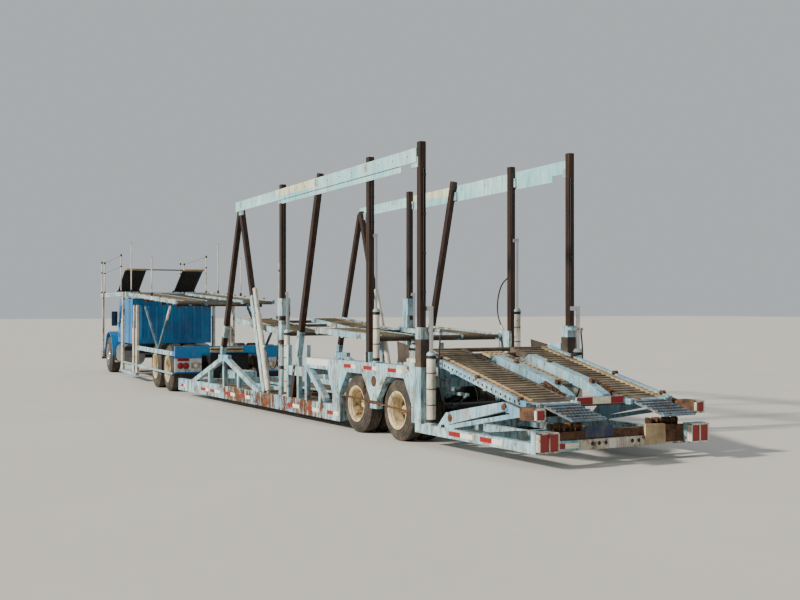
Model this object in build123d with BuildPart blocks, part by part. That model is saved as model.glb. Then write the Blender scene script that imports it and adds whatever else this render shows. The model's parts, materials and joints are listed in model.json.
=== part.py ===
from build123d import *
from math import acos, cos, hypot, radians, sin, tan
import os

# Car transporter truck: a drop-frame semi-trailer with a post rack, hinged behind a low tractor.
# Millimetres, +X forward, +Y to the vehicle's left, +Z up, tyres on z = 0.
# Trailer pieces are drawn from the trailer's tail (x = 0) on its own centre plane.
# Tractor pieces are drawn from the hitch pin (u = 0), then turned about it by HITCH_ANGLE.

# Overall places
HITCH_X = 12950.0
HITCH_ANGLE = -5.5
TAIL_X = -160.0
HALF_WIDTH = 1285.0
SEAT = 0.3
PIN_GAP = 0.4
RUN_GAP = 10.0

# Trailer lower frame
RAIL_WIDTH = 90.0
RAIL_LOW = 120.0
RAIL_TOP = 360.0
RAIL_REAR = 5100.0
RAIL_FRONT = 12800.0
CROSS_LOW = 140.0
CROSS_TOP = 240.0
CROSS_WIDTH = 80.0
CROSS_COUNT = 8
LOW_DECK_END = 12240.0
NECK_HALF = 250.0
NECK_THICK = 60.0
FIFTH_WHEEL_TOP = 430.0
FIFTH_WHEEL_RADIUS = 300.0
KINGPIN_RADIUS = 25.0

# Rack posts and decks across the width
POST_WIDE = 85.0
POST_DEEP = 95.0
SIDE_SKIN = 10.0
DECK_SIDE_GAP = 65.0
DECK_RAIL = 55.0
DECK_RAIL_HIGH = 90.0
TRACK_INNER = 430.0
TRACK_WIDE = 500.0
WALK_GAP = 20.0
TRACK_THICK = 40.0
PIVOT_RADIUS = 30.0
TOP_RAIL_THICK = 15.0

# Trailer wheel frame and wheels
BEAM_LOW = 880.0
BEAM_TOP = 1050.0
BEAM_REAR = 2800.0
BEAM_FRONT = 6400.0
ARCH_HALF_TOP = 245.0
ARCH_HALF_LOW = 480.0
ARCH_FOOT = 550.0
INNER_BEAM = (420.0, 520.0)
TRAILER_TYRE = 850.0
TRAILER_AXLES = (3360.0, 4605.0)
TRAILER_RIM = 510.0
TYRE_WIDTH = 250.0
DUAL_GAP = 45.0
SPINDLE = 50.0

# Tractor
TRACTOR_TYRE = 1000.0
TRACTOR_RIM = 572.0
DRIVE_AXLES = (1000.0, 2320.0)
DRIVE_WIDTH = 270.0
STEER_AXLE = 9050.0
STEER_WIDTH = 290.0
CHASSIS_INNER = 345.0
CHASSIS_OUTER = 425.0
CHASSIS_LOW = 640.0
CHASSIS_TOP = 880.0
CAB_LENGTH = 2100.0
CAB_HALF = 1050.0
CAB_FLOOR = 890.0
CAB_ROOF = 2080.0
CAB_WALL = 45.0
HOOD_HALF = 600.0
RACK_LOW = 2140.0
RACK_TOP = 2250.0

# Places worked out from the sizes above
RAIL_INNER = HALF_WIDTH - RAIL_WIDTH
POST_OUTER = HALF_WIDTH - SIDE_SKIN
POST_INNER = POST_OUTER - POST_WIDE
DECK_OUTER = POST_INNER - DECK_SIDE_GAP
EAR_INNER = DECK_OUTER + RUN_GAP
TRACK_OUTER = TRACK_INNER + TRACK_WIDE
TYRE_FACE = HALF_WIDTH - 35.0
TYRE_MID_Y = TYRE_FACE - TYRE_WIDTH - DUAL_GAP / 2
TYRE_INNER_Y = TYRE_FACE - 2 * TYRE_WIDTH - DUAL_GAP
HUB_OUTER_Y = TYRE_FACE - 110.0
DRIVE_FACE = HALF_WIDTH - 65.0
DRIVE_INNER_Y = DRIVE_FACE - 2 * DRIVE_WIDTH - DUAL_GAP
DRIVE_MID_Y = DRIVE_FACE - DRIVE_WIDTH - DUAL_GAP / 2
DRIVE_HUB_Y = DRIVE_FACE - 60.0
STEER_FACE = HALF_WIDTH - 105.0
KINGPIN_Y = STEER_FACE - 330.0
CAB_FRONT = STEER_AXLE - 800.0
CAB_REAR = CAB_FRONT - CAB_LENGTH
HOOD_FRONT = STEER_AXLE + 1150.0
FRONT_U = HOOD_FRONT + 200.0
MAST_U = CAB_REAR + 290.0
FRONT_X = HITCH_X + FRONT_U * cos(radians(HITCH_ANGLE))
FRONT_Y = FRONT_U * sin(radians(HITCH_ANGLE)) - 1200.0 * cos(radians(HITCH_ANGLE))
SHIFT_X = -(FRONT_X + TAIL_X) / 2
SHIFT_Y = -(FRONT_Y + HALF_WIDTH) / 2
TRAILER = Location((SHIFT_X, SHIFT_Y, 0))
TRACTOR = Location((SHIFT_X + HITCH_X, SHIFT_Y, 0), (0, 0, HITCH_ANGLE))
SIDES = (("left", 1), ("right", -1))
BOTH = (-1, 1)

# Hydraulic hoses, from fitting to fitting; the lift hoses are drawn for the left side
HOSE = 22.0
GLAND_RADIUS = 18.0
LIFT_HOSE = ((2360.0, 1155.0, 1485.0), (2350.0, 1180.0, 1240.0), (2366.0, 1175.0, 990.0), (2362.0, 1150.0, 770.0),
             (2372.0, 1090.0, 565.0), (2380.0, 905.0, 505.0), (2388.0, 770.0, 640.0))
POST_HOSE = ((4290.0, -1232.5, 2300.0), (4430.0, -1225.0, 2240.0), (4515.0, -1208.0, 2050.0),
             (4530.0, -1192.0, 1850.0), (4480.0, -1180.0, 1670.0), (4375.0, -1165.0, 1560.0))
RACK_HOSE = ((7515.0, 1162.0, 1640.0), (7650.0, 1166.0, 1605.0), (7725.0, 1172.0, 1440.0), (7712.0, 1180.0, 1215.0),
             (7725.0, 1188.0, 1000.0), (7790.0, 1196.0, 810.0), (7960.0, 1204.0, 760.0), (8090.0, 1211.0, 880.0),
             (8105.0, 1217.0, 1060.0), (8230.0, 1221.0, 1140.0))

os.makedirs("parts", exist_ok=True)


def finish(piece, name, place):
    """Label a finished piece, put it in the shared frame and write it."""
    piece.part.label = name
    export_step(piece.part.moved(place), f"parts/{name}.step")


def block(x, y, z, mode=Mode.ADD):
    """A box between three pairs of limits."""
    with Locations(Vector((x[0] + x[1]) / 2, (y[0] + y[1]) / 2, (z[0] + z[1]) / 2)):
        Box(x[1] - x[0], y[1] - y[0], z[1] - z[0], mode=mode)


def pair(x, y, z, mode=Mode.ADD):
    """The same box on the left and on the right side."""
    block(x, y, z, mode)
    block(x, (-y[1], -y[0]), z, mode)


def plate(points, y, mode=Mode.ADD):
    """An upright plate with a side outline, between two y values."""
    with BuildSketch(Plane.XZ.offset(-y[0])) as outline:
        with BuildLine():
            Polyline(*points, close=True)
        make_face()
    extrude(outline.sketch, amount=y[0] - y[1], mode=mode)


def plate_pair(points, y, mode=Mode.ADD):
    """The same upright plate on the left and on the right side."""
    plate(points, y, mode)
    plate(points, (-y[1], -y[0]), mode)


def strip(start, end, deep):
    """Corners of a straight bar of one depth between two points of the side view."""
    run, rise = end[0] - start[0], end[1] - start[1]
    nx = -rise / hypot(run, rise) * deep / 2
    nz = run / hypot(run, rise) * deep / 2
    return [(start[0] + nx, start[1] + nz), (end[0] + nx, end[1] + nz),
            (end[0] - nx, end[1] - nz), (start[0] - nx, start[1] - nz)]


def bar_pair(start, end, deep, y, mode=Mode.ADD):
    """A straight bar of the side view on both sides."""
    plate_pair(strip(start, end, deep), y, mode)


def mirrored(side, low, high):
    """A pair of y limits on the left (side 1) or on the right (side -1)."""
    return tuple(sorted((side * low, side * high)))


def round_y(x, z, radius, y, mode=Mode.ADD):
    """A round bar along Y."""
    with BuildSketch(Plane.XZ.offset(-y[0])) as outline:
        with Locations((x, z)):
            Circle(radius)
    extrude(outline.sketch, amount=y[0] - y[1], mode=mode)


def round_z(x, y, radius, z, mode=Mode.ADD):
    """A round bar along Z."""
    with BuildSketch(Plane.XY.offset(z[0])) as outline:
        with Locations((x, y)):
            Circle(radius)
    extrude(outline.sketch, amount=z[1] - z[0], mode=mode)


def round_between(start, end, radius):
    """A round bar between two points in space."""
    axis = Vector(*end) - Vector(*start)
    with BuildSketch(Plane(origin=start, z_dir=axis)) as outline:
        Circle(radius)
    extrude(outline.sketch, amount=axis.length)


def gland(route, length):
    """A round fitting that meets the first point of a hose's route face to face."""
    start = Vector(*route[0])
    away = (start - Vector(*route[1])).normalized()
    round_between(tuple(start), tuple(start + away * length), GLAND_RADIUS)


def on_side(route, side):
    """A route drawn for the left side, on the left (side 1) or on the right (side -1)."""
    return [(x, side * y, z) for x, y, z in route]


def along(start, end, t):
    """The point a share t of the way between two points of the side view."""
    return (start[0] + (end[0] - start[0]) * t, start[1] + (end[1] - start[1]) * t)


def above(start, end, x, height):
    """The point at x, a height over the line between two points of the side view."""
    return (x, along(start, end, (x - start[0]) / (end[0] - start[0]))[1] + height)


# Trailer lower frame: side rails, crossmembers, neck and kingpin
with BuildPart() as lower_frame:
    pair((RAIL_REAR, RAIL_FRONT), (RAIL_INNER, HALF_WIDTH), (RAIL_LOW, RAIL_TOP))
    cross_step = (LOW_DECK_END - RAIL_REAR - CROSS_WIDTH) / (CROSS_COUNT - 1)
    for number in range(CROSS_COUNT):
        cross_x = RAIL_REAR + number * cross_step
        block((cross_x, cross_x + CROSS_WIDTH), (-RAIL_INNER, RAIL_INNER), (CROSS_LOW, CROSS_TOP))
    pair((LOW_DECK_END - 1400.0, LOW_DECK_END), (180.0, 260.0), (CROSS_LOW, CROSS_TOP))
    block((LOW_DECK_END - 60.0, LOW_DECK_END + 60.0), (-RAIL_INNER, RAIL_INNER), (CROSS_LOW, RAIL_TOP))
    neck_y = (-NECK_HALF, NECK_HALF)
    neck_z = (FIFTH_WHEEL_TOP + SEAT, FIFTH_WHEEL_TOP + NECK_THICK)
    block((LOW_DECK_END, HITCH_X - FIFTH_WHEEL_RADIUS - 50.0), neck_y, (CROSS_TOP, neck_z[1]))
    block((LOW_DECK_END, HITCH_X), neck_y, neck_z)
    round_z(HITCH_X, 0, NECK_HALF, neck_z)
    round_z(HITCH_X, 0, KINGPIN_RADIUS, (FIFTH_WHEEL_TOP - 50.0, neck_z[1]))
finish(lower_frame, "lower_frame", TRAILER)

# Wheel tracks of the low deck between the side rails
with BuildPart() as low_tracks:
    pair((RAIL_REAR + 20.0, LOW_DECK_END - 80.0), (TRACK_INNER, DECK_OUTER - DECK_RAIL),
         (CROSS_TOP, CROSS_TOP + TRACK_THICK))
finish(low_tracks, "low_tracks", TRAILER)

# Wheel frames: kick-up beams with flared arches, legs, braces and the front bracket box
P3_FOOT, P3_TOP = (6950.0, RAIL_TOP), (5905.0, 3900.0)
BRACKET_BOX = (6300.0, 7150.0)
# Uprights on the side rail, beside and above the bracket box: x, top
FRAME_UPRIGHTS = ((5780.0, 500.0), (6300.0, 1240.0), (6620.0, 1040.0), (7040.0, 1220.0))
with BuildPart() as wheel_frames:
    frame_y = (RAIL_INNER, HALF_WIDTH)
    rear_x, front_x = TRAILER_AXLES
    leg_rear = rear_x + ARCH_HALF_LOW + 40.0
    leg_front = front_x - ARCH_HALF_LOW - 20.0
    rear_leg = rear_x - ARCH_HALF_LOW + 20.0
    front_leg = RAIL_REAR + 250.0
    pair((BEAM_REAR, BEAM_FRONT), frame_y, (BEAM_LOW, BEAM_TOP))
    plate_pair([(rear_x + ARCH_HALF_TOP, BEAM_LOW), (leg_rear, ARCH_FOOT), (leg_rear, 400.0),
                (leg_front, 400.0), (leg_front, ARCH_FOOT), (front_x - ARCH_HALF_TOP, BEAM_LOW)], frame_y)
    plate_pair([(BEAM_REAR, BEAM_LOW), (BEAM_REAR, 300.0), (rear_leg, 300.0), (rear_leg, ARCH_FOOT),
                (rear_x - ARCH_HALF_TOP, BEAM_LOW)], frame_y)
    plate_pair([(front_x + ARCH_HALF_TOP, BEAM_LOW), (RAIL_REAR + 10.0, ARCH_FOOT), (RAIL_REAR + 10.0, RAIL_TOP),
                (front_leg, RAIL_TOP), (front_leg, 520.0), (front_leg + 170.0, BEAM_LOW)], frame_y)
    bar_pair((6330.0, BEAM_LOW + 20.0), (5640.0, RAIL_TOP + 45.0), 90.0, frame_y)
    bracket_y = (RAIL_INNER + 20.0, HALF_WIDTH)
    pair(BRACKET_BOX, bracket_y, (730.0, BEAM_LOW))
    for upright_x, upright_top in FRAME_UPRIGHTS:
        pair((upright_x, upright_x + 75.0), bracket_y, (RAIL_TOP, upright_top))
    bar_pair(P3_FOOT, P3_TOP, POST_DEEP + 2 * SEAT, (POST_INNER - SEAT, HALF_WIDTH + 1.0), Mode.SUBTRACT)
finish(wheel_frames, "wheel_frames", TRAILER)

# Crossmembers between the wheel frames, the beams over the axles that lie on them, and hose brackets
LEG_CROSS_X = (BEAM_REAR + 60.0, 3960.0, 5200.0, 6310.0)
LEG_CROSS_Z = (760.0, 870.0)
HOSE_BRACKET_Y = (700.0, 745.0)
HOSE_BRACKET_Z = (665.0, 705.0)
with BuildPart() as frame_crossbars:
    for cross_x in LEG_CROSS_X:
        block((cross_x, cross_x + CROSS_WIDTH), (-RAIL_INNER + SEAT, RAIL_INNER - SEAT), LEG_CROSS_Z)
    pair((LEG_CROSS_X[0], LEG_CROSS_X[-1] + CROSS_WIDTH), INNER_BEAM, (LEG_CROSS_Z[1], 980.0))
    for axle_x in TRAILER_AXLES:
        pair((axle_x - 80.0, axle_x + 80.0), INNER_BEAM, (TRAILER_TYRE / 2 + 65.0, LEG_CROSS_Z[1]))
    bracket_end = LEG_CROSS_X[0] + 40.0
    pair((LEG_CROSS_X[0], bracket_end), HOSE_BRACKET_Y, (HOSE_BRACKET_Z[0], LEG_CROSS_Z[0]))
    pair((LIFT_HOSE[-1][0] - 20.0, bracket_end), HOSE_BRACKET_Y, HOSE_BRACKET_Z)
    for side in BOTH:
        gland(on_side(LIFT_HOSE, side)[::-1], 60.0)
finish(frame_crossbars, "frame_crossbars", TRAILER)

# Rear frame: low side rails, bumper, step beam, skids and the corner lamp housings
REAR_RAIL_Z = (180.0, 300.0)
LAMP_DEEP = 60.0
LAMP_HOUSING_INNER = HALF_WIDTH - 285.0
BUMPER_X = (150.0, 250.0)
SKID_Z = (190.0, 290.0)
with BuildPart() as rear_frame:
    pair((LAMP_DEEP + SEAT, BEAM_REAR), (RAIL_INNER, HALF_WIDTH), REAR_RAIL_Z)
    pair((LAMP_DEEP + SEAT, BUMPER_X[0]), (LAMP_HOUSING_INNER, HALF_WIDTH), (190.0, 430.0))
    block(BUMPER_X, (-RAIL_INNER, RAIL_INNER), REAR_RAIL_Z)
    block((180.0, 300.0), (-TRACK_OUTER, TRACK_OUTER), (REAR_RAIL_Z[1], 400.0))
    with BuildSketch(Plane.YZ.offset(BUMPER_X[0])) as plate_holes:
        with GridLocations(178.0, 1.0, 2, 1):
            Circle(3.5)
    extrude(plate_holes.sketch.moved(Location((0, 0, 240.0))), amount=30.0, mode=Mode.SUBTRACT)
    for cross_x in (1350.0, 2640.0):
        block((cross_x, cross_x + CROSS_WIDTH), (-RAIL_INNER, RAIL_INNER), SKID_Z)
    pair((BUMPER_X[0], 2720.0), (400.0, 480.0), SKID_Z)
finish(rear_frame, "rear_frame", TRAILER)

# Tail lamps: a wide one low at each corner and a square one on each arm
ARM_LAMP_X = (100.0, 390.0)
with BuildPart() as tail_lamps:
    pair((0.0, LAMP_DEEP), (LAMP_HOUSING_INNER + 15.0, HALF_WIDTH - 10.0), (205.0, 415.0))
    pair((ARM_LAMP_X[0] - 30.0, ARM_LAMP_X[0] - SEAT), (HALF_WIDTH - 135.0, HALF_WIDTH - 20.0), (560.0, 680.0))
finish(tail_lamps, "tail_lamps", TRAILER)

# Arms beside the rear deck: a tapered box arm over a thin link, with a lamp housing at the tail
LINK_FOOT_Z = REAR_RAIL_Z[1] - 15.0
with BuildPart() as support_arms:
    link_y = (POST_INNER + 20.0, HALF_WIDTH - 35.0)
    plate_pair([(1980.0, 350.0), (1930.0, 520.0), (730.0, 730.0), (660.0, 635.0)], (POST_INNER, HALF_WIDTH - 15.0))
    bar_pair((2180.0, LINK_FOOT_Z), (430.0, 600.0), 55.0, link_y)
    plate_pair([(2300.0, LINK_FOOT_Z), (1860.0, LINK_FOOT_Z), (1890.0, 470.0), (2060.0, 500.0)], link_y)
    plate_pair([(380.0, 560.0), (380.0, 660.0), (700.0, 720.0), (760.0, 620.0)], link_y)
    pair(ARM_LAMP_X, (HALF_WIDTH - 150.0, HALF_WIDTH - 15.0), (545.0, 695.0))
    pair((1800.0, 2400.0), (0.0, HALF_WIDTH), (0.0, REAR_RAIL_Z[1]), Mode.SUBTRACT)
finish(support_arms, "support_arms", TRAILER)

# Corner brackets that carry the front pair of leaning posts
BRACKET_FEET = (8330.0, 11950.0)
BRACKET_TOP = (10120.0, 945.0)
with BuildPart() as corner_braces:
    brace_y = (RAIL_INNER + 10.0, HALF_WIDTH)
    for foot_x in BRACKET_FEET:
        bar_pair((foot_x, RAIL_TOP - 30.0), (BRACKET_TOP[0], BRACKET_TOP[1] - 45.0), 90.0, brace_y)
    pair((BRACKET_TOP[0] - 230.0, BRACKET_TOP[0] + 260.0), brace_y, (BRACKET_TOP[1] - 95.0, BRACKET_TOP[1]))
    # Uprights between the legs: x, top
    for upright_x, upright_top in ((9330.0, 640.0), (10085.0, 860.0), (10890.0, 630.0)):
        pair((upright_x, upright_x + 70.0), brace_y, (RAIL_TOP - 5.0, upright_top))
    pair((BRACKET_FEET[0] - 400.0, BRACKET_FEET[1] + 200.0), (RAIL_INNER, HALF_WIDTH),
         (0.0, RAIL_TOP), Mode.SUBTRACT)
finish(corner_braces, "corner_braces", TRAILER)

# Rack posts: foot x, foot z, top x, top z; the front leaning one is cut clear of its partner
P1_FOOT, P1_TOP = (8150.0, RAIL_TOP), (9300.0, 3640.0)
P1B_FOOT, P1B_TOP = (BRACKET_TOP[0] + 160.0, BRACKET_TOP[1]), (9350.0, 3640.0)
P5_FOOT, P5_TOP = (2720.0, 1580.0), (2720.0, 4060.0)
P4_FOOT, P4_TOP = (4200.0, BEAM_TOP), (4200.0, 4020.0)
P2_FOOT, P2_TOP = (7400.0, RAIL_TOP), (7400.0, 3920.0)
with BuildPart() as rack_posts:
    post_y = (POST_INNER, POST_OUTER)
    bar_pair(along(P1B_FOOT, P1B_TOP, -0.02), P1B_TOP, POST_DEEP, post_y)
    bar_pair(P1_FOOT, along(P1_FOOT, P1_TOP, 1.1), POST_DEEP + 2 * SEAT, (POST_INNER - 1.0, POST_OUTER + 1.0),
             Mode.SUBTRACT)
    for foot, top in ((P1_FOOT, P1_TOP), (P3_FOOT, P3_TOP)):
        bar_pair(along(foot, top, -0.02), along(foot, top, 1.015), POST_DEEP, post_y)
    for foot, top in ((P5_FOOT, P5_TOP), (P4_FOOT, P4_TOP), (P2_FOOT, P2_TOP)):
        bar_pair(foot, top, POST_DEEP, post_y)
    for foot_x, foot_z in (P1_FOOT, P3_FOOT, P1B_FOOT):
        pair((foot_x - 150.0, foot_x + 150.0), (0.0, HALF_WIDTH), (foot_z - 150.0, foot_z), Mode.SUBTRACT)
    gland(POST_HOSE, 60.0)
finish(rack_posts, "rack_posts", TRAILER)

# Top rails along the posts, with a doubler strip under each
with BuildPart() as top_rails:
    top_rail_y = (POST_OUTER, POST_OUTER + TOP_RAIL_THICK)
    plate_pair([(2765.0, 3980.0), (9460.0, 3775.0), (9460.0, 3600.0), (2765.0, 3790.0)], top_rail_y)
    plate_pair([(3190.0, 3790.0), (7300.0, 3670.0), (7300.0, 3590.0), (3190.0, 3690.0)],
               (POST_OUTER, POST_OUTER + TOP_RAIL_THICK / 2))
finish(top_rails, "top_rails", TRAILER)

# Housings, sleeves and pivot ears at the posts, with hose fittings
DECK_PIVOTS = {"rear": (3050.0, 1250.0), "middle": (4330.0, 1400.0), "front": (7560.0, 1400.0)}
with BuildPart() as post_sleeves:
    sleeve_in = (EAR_INNER, POST_INNER - SEAT)
    sleeve_all = (EAR_INNER, HALF_WIDTH)
    sleeve_out = (POST_INNER - SEAT, HALF_WIDTH)
    pair((2645.0, 2795.0), sleeve_all, (REAR_RAIL_Z[1], P5_FOOT[1]))
    pair((2795.0, 3110.0), (EAR_INNER, POST_INNER - 10.0), (BEAM_TOP, 1330.0))
    pair((2795.0, 3110.0), (POST_INNER - 10.0, HALF_WIDTH), (BEAM_TOP, 1100.0))
    plate_pair([(3100.0, 1300.0), (3550.0, 1370.0), (3520.0, 1080.0), (3100.0, 1060.0)],
               (EAR_INNER, EAR_INNER + 12.0))
    pair((4125.0, 4390.0), sleeve_in, (BEAM_TOP, 1480.0))
    pair((4125.0, 4151.0), sleeve_out, (BEAM_TOP, 1200.0))
    pair((4249.0, 4275.0), sleeve_out, (BEAM_TOP, 1200.0))
    pair((7320.0, 7630.0), sleeve_in, (1290.0, 1520.0))
    pair((7320.0, 7480.0), sleeve_in, (RAIL_TOP, 1290.0))
    pair((7300.0, 7500.0), sleeve_all, (1700.0, 2000.0))
    post_half = POST_DEEP / 2 + SEAT
    pair((P2_FOOT[0] - post_half, P2_FOOT[0] + post_half), (POST_INNER - SEAT, POST_OUTER + SEAT),
         (1690.0, 2010.0), Mode.SUBTRACT)
    pair((7320.0, 7480.0), sleeve_in, (1520.0, 1700.0))
    for pivot_x, pivot_z in DECK_PIVOTS.values():
        round_y(pivot_x, pivot_z, PIVOT_RADIUS + PIN_GAP, (-HALF_WIDTH, HALF_WIDTH), Mode.SUBTRACT)
    pair((LIFT_HOSE[0][0] - 20.0, 2645.0), (EAR_INNER, EAR_INNER + 40.0), (1520.0, 1560.0))
    for side in BOTH:
        gland(on_side(LIFT_HOSE, side), 50.0)
    gland(RACK_HOSE, 45.0)
    gland(POST_HOSE[::-1], 120.0)
finish(post_sleeves, "post_sleeves", TRAILER)

# Lift cylinders beside the posts: x, inset from the side, foot, barrel top, radius, rod top, rod radius
CYLINDERS = (
    (2500.0, 75.0, REAR_RAIL_Z[1], 1240.0, 62.0, 1860.0, 28.0),
    (4020.0, 60.0, BEAM_TOP, 1810.0, 48.0, 2900.0, 16.0),
    (7225.0, 60.0, RAIL_TOP, 1450.0, 50.0, 2100.0, 22.0),
)
LEAN_START, LEAN_END = (8046.0, RAIL_TOP + 36.0), (8506.0, 1708.0)
LEAN_ROD_END = (8676.0, 2193.0)
LEAN_Y = HALF_WIDTH - 60.0
with BuildPart() as cylinder_barrels:
    for cylinder_x, inset, low, high, radius, rod_top, rod_radius in CYLINDERS:
        for side in BOTH:
            round_z(cylinder_x, side * (HALF_WIDTH - inset), radius, (low, high))
    for side in BOTH:
        round_between((LEAN_START[0], side * LEAN_Y, LEAN_START[1]), (LEAN_END[0], side * LEAN_Y, LEAN_END[1]), 50.0)
    pair((8010.0, 8070.0), (LEAN_Y - 20.0, LEAN_Y + 20.0), (RAIL_TOP, RAIL_TOP + 60.0))
    gland(RACK_HOSE[::-1], 80.0)
finish(cylinder_barrels, "cylinder_barrels", TRAILER)

# Rods with an eye plate that reaches to the post: plate start, post's rear face, inset, z limits
EYE_PLATES = (
    (2470.0, P5_FOOT[0] - POST_DEEP / 2, 75.0, (1800.0, 1860.0)),
    (4000.0, P4_FOOT[0] - POST_DEEP / 2, 60.0, (2850.0, 2900.0)),
    (7200.0, P2_FOOT[0] - POST_DEEP / 2, 60.0, (2050.0, 2100.0)),
)
with BuildPart() as cylinder_rods:
    for cylinder_x, inset, low, high, radius, rod_top, rod_radius in CYLINDERS:
        for side in BOTH:
            round_z(cylinder_x, side * (HALF_WIDTH - inset), rod_radius, (high, rod_top))
    for eye_start, post_face, inset, eye_z in EYE_PLATES:
        pair((eye_start, post_face - SEAT), (HALF_WIDTH - inset - 15.0, HALF_WIDTH - inset + 15.0), eye_z)
    for side in BOTH:
        round_between((LEAN_END[0], side * LEAN_Y, LEAN_END[1]), (LEAN_ROD_END[0], side * LEAN_Y, LEAN_ROD_END[1]),
                      24.0)
    pair((8640.0, 8800.0), (LEAN_Y - 15.0, LEAN_Y + 15.0), (2150.0, 2200.0))
    bar_pair(P1_FOOT, P1_TOP, POST_DEEP + 2 * SEAT, (POST_INNER - 1.0, POST_OUTER + 1.0), Mode.SUBTRACT)
    pair((8700.0, 9000.0), (LEAN_Y - 16.0, LEAN_Y + 16.0), (2100.0, 2250.0), Mode.SUBTRACT)
finish(cylinder_rods, "cylinder_rods", TRAILER)

# Trailer axles with drums; the spindles end inside the hubs
with BuildPart() as trailer_axles:
    for axle_x in TRAILER_AXLES:
        axle_z = TRAILER_TYRE / 2
        round_y(axle_x, axle_z, SPINDLE + 15.0, (-TYRE_INNER_Y, TYRE_INNER_Y))
        round_y(axle_x, axle_z, SPINDLE, (-HUB_OUTER_Y + 20.0, HUB_OUTER_Y - 20.0))
        for side in BOTH:
            round_y(axle_x, axle_z, 195.0, mirrored(side, TYRE_INNER_Y - 10.0, TYRE_INNER_Y + 160.0))
finish(trailer_axles, "trailer_axles", TRAILER)


def wheel(x, side, radius, rim, faces, disc, hub, bore, closed):
    """Tyres, rims, disc and hub as one turning body; y values are for the left side."""
    shell = 22.0
    shoulder = 26.0
    outlines = []
    for low, high in faces:
        outlines.append([(low, rim - shell), (low, radius - shoulder), (low + shoulder, radius),
                         (high - shoulder, radius), (high, radius - shoulder), (high, rim - shell)])
    outlines.append([(disc[0], bore), (disc[0], rim - shell / 2), (disc[1], rim - shell / 2), (disc[1], bore)])
    outlines.append([(hub[0], bore), (hub[0], hub[2]), (hub[1], hub[2]), (hub[1], bore)])
    outlines.append([(closed, 0.0), (closed, hub[2]), (hub[1], hub[2]), (hub[1], 0.0)])
    axle = Plane(origin=(x, 0, radius), x_dir=(0, side, 0), z_dir=(side, 0, 0))
    for outline in outlines:
        with BuildSketch(axle) as half:
            with BuildLine():
                Polyline(*outline, close=True)
            make_face()
        revolve(half.sketch, axis=Axis((x, 0, radius), (0, 1, 0)))


TRAILER_FACES = ((TYRE_INNER_Y, TYRE_INNER_Y + TYRE_WIDTH), (TYRE_FACE - TYRE_WIDTH, TYRE_FACE))
DISC_HALF = 30.0
HUB_CAP = 19.0
for axle_name, axle_x in zip(("rear", "front"), TRAILER_AXLES):
    for side_name, side in SIDES:
        with BuildPart() as trailer_wheel:
            wheel(axle_x, side, TRAILER_TYRE / 2, TRAILER_RIM / 2, TRAILER_FACES,
                  (TYRE_MID_Y - DISC_HALF, TYRE_MID_Y + DISC_HALF), (TYRE_MID_Y - 40.0, HUB_OUTER_Y, 105.0),
                  SPINDLE + PIN_GAP, HUB_OUTER_Y - HUB_CAP)
        finish(trailer_wheel, f"trailer_{axle_name}_wheels_{side_name}", TRAILER)


def deck(pivot, end):
    """Two wheel tracks with walkways on crossbars, side rails and a shaft through the pivot."""
    length = abs(end[0] - pivot[0])
    track = strip(along(pivot, end, 70.0 / length), end, TRACK_THICK)
    plate_pair(track, (TRACK_INNER, TRACK_OUTER))
    plate_pair(track, (TRACK_OUTER + WALK_GAP, DECK_OUTER - DECK_RAIL + 1.0))
    bar_pair(pivot, end, DECK_RAIL_HIGH, (DECK_OUTER - DECK_RAIL, DECK_OUTER))
    bar_pair(along(pivot, end, 45.0 / length), end, DECK_RAIL_HIGH * 0.8, (TRACK_INNER - 40.0, TRACK_INNER))
    count = max(3, round(length / 620.0))
    for number in range(count):
        x, z = along(pivot, end, 0.06 + 0.9 * number / (count - 1))
        block((x - 35.0, x + 35.0), (-DECK_OUTER, DECK_OUTER), (z - 62.0, z - 8.0))
    round_y(*pivot, PIVOT_RADIUS, (-POST_INNER + 8.0, POST_INNER - 8.0))


# Rear deck, sloping to the tail, with raised centre beams, a cross bar and the flap hinge lugs
REAR_DECK = (DECK_PIVOTS["rear"], (480.0, 685.0))
FLAP_HINGE = (430.0, 690.0)
FLAP_TIP = (TAIL_X + 10.0, 560.0)
HINGE_RADIUS = 16.0
LUG_WIDTH = 40.0
FLAP_LUGS = ((TRACK_INNER - RUN_GAP - LUG_WIDTH, TRACK_INNER - RUN_GAP),
             (TRACK_OUTER + RUN_GAP, TRACK_OUTER + RUN_GAP + LUG_WIDTH))
# Side outlines over the deck's line: x, height
CENTRE_BEAM = ((2450.0, -20.0), (2300.0, 120.0), (1150.0, 120.0), (720.0, 30.0), (700.0, -20.0))
CENTRE_STRIP = ((2900.0, -15.0), (2900.0, 15.0), (1400.0, 15.0), (1400.0, -15.0))
with BuildPart() as rear_deck:
    deck(*REAR_DECK)
    plate_pair([above(*REAR_DECK, x, height) for x, height in CENTRE_BEAM], (205.0, 335.0))
    plate([above(*REAR_DECK, x, height) for x, height in CENTRE_STRIP], (-170.0, 170.0))
    block((500.0, 560.0), (-360.0, 360.0), (672.0, 760.0))
    pair((500.0, 560.0), (355.0, TRACK_INNER - 5.0), (672.0, 720.0))
    for lug in FLAP_LUGS:
        pair((FLAP_HINGE[0] - 32.0, FLAP_HINGE[0] + 90.0), lug, (FLAP_HINGE[1] - 32.0, FLAP_HINGE[1] + 32.0))
    round_y(*FLAP_HINGE, HINGE_RADIUS + PIN_GAP, (-HALF_WIDTH, HALF_WIDTH), Mode.SUBTRACT)
finish(rear_deck, "rear_deck", TRAILER)

with BuildPart() as middle_deck:
    deck(DECK_PIVOTS["middle"], (6330.0, 1480.0))
finish(middle_deck, "middle_deck", TRAILER)

with BuildPart() as front_deck:
    deck(DECK_PIVOTS["front"], (9900.0, 1610.0))
finish(front_deck, "front_deck", TRAILER)

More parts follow.
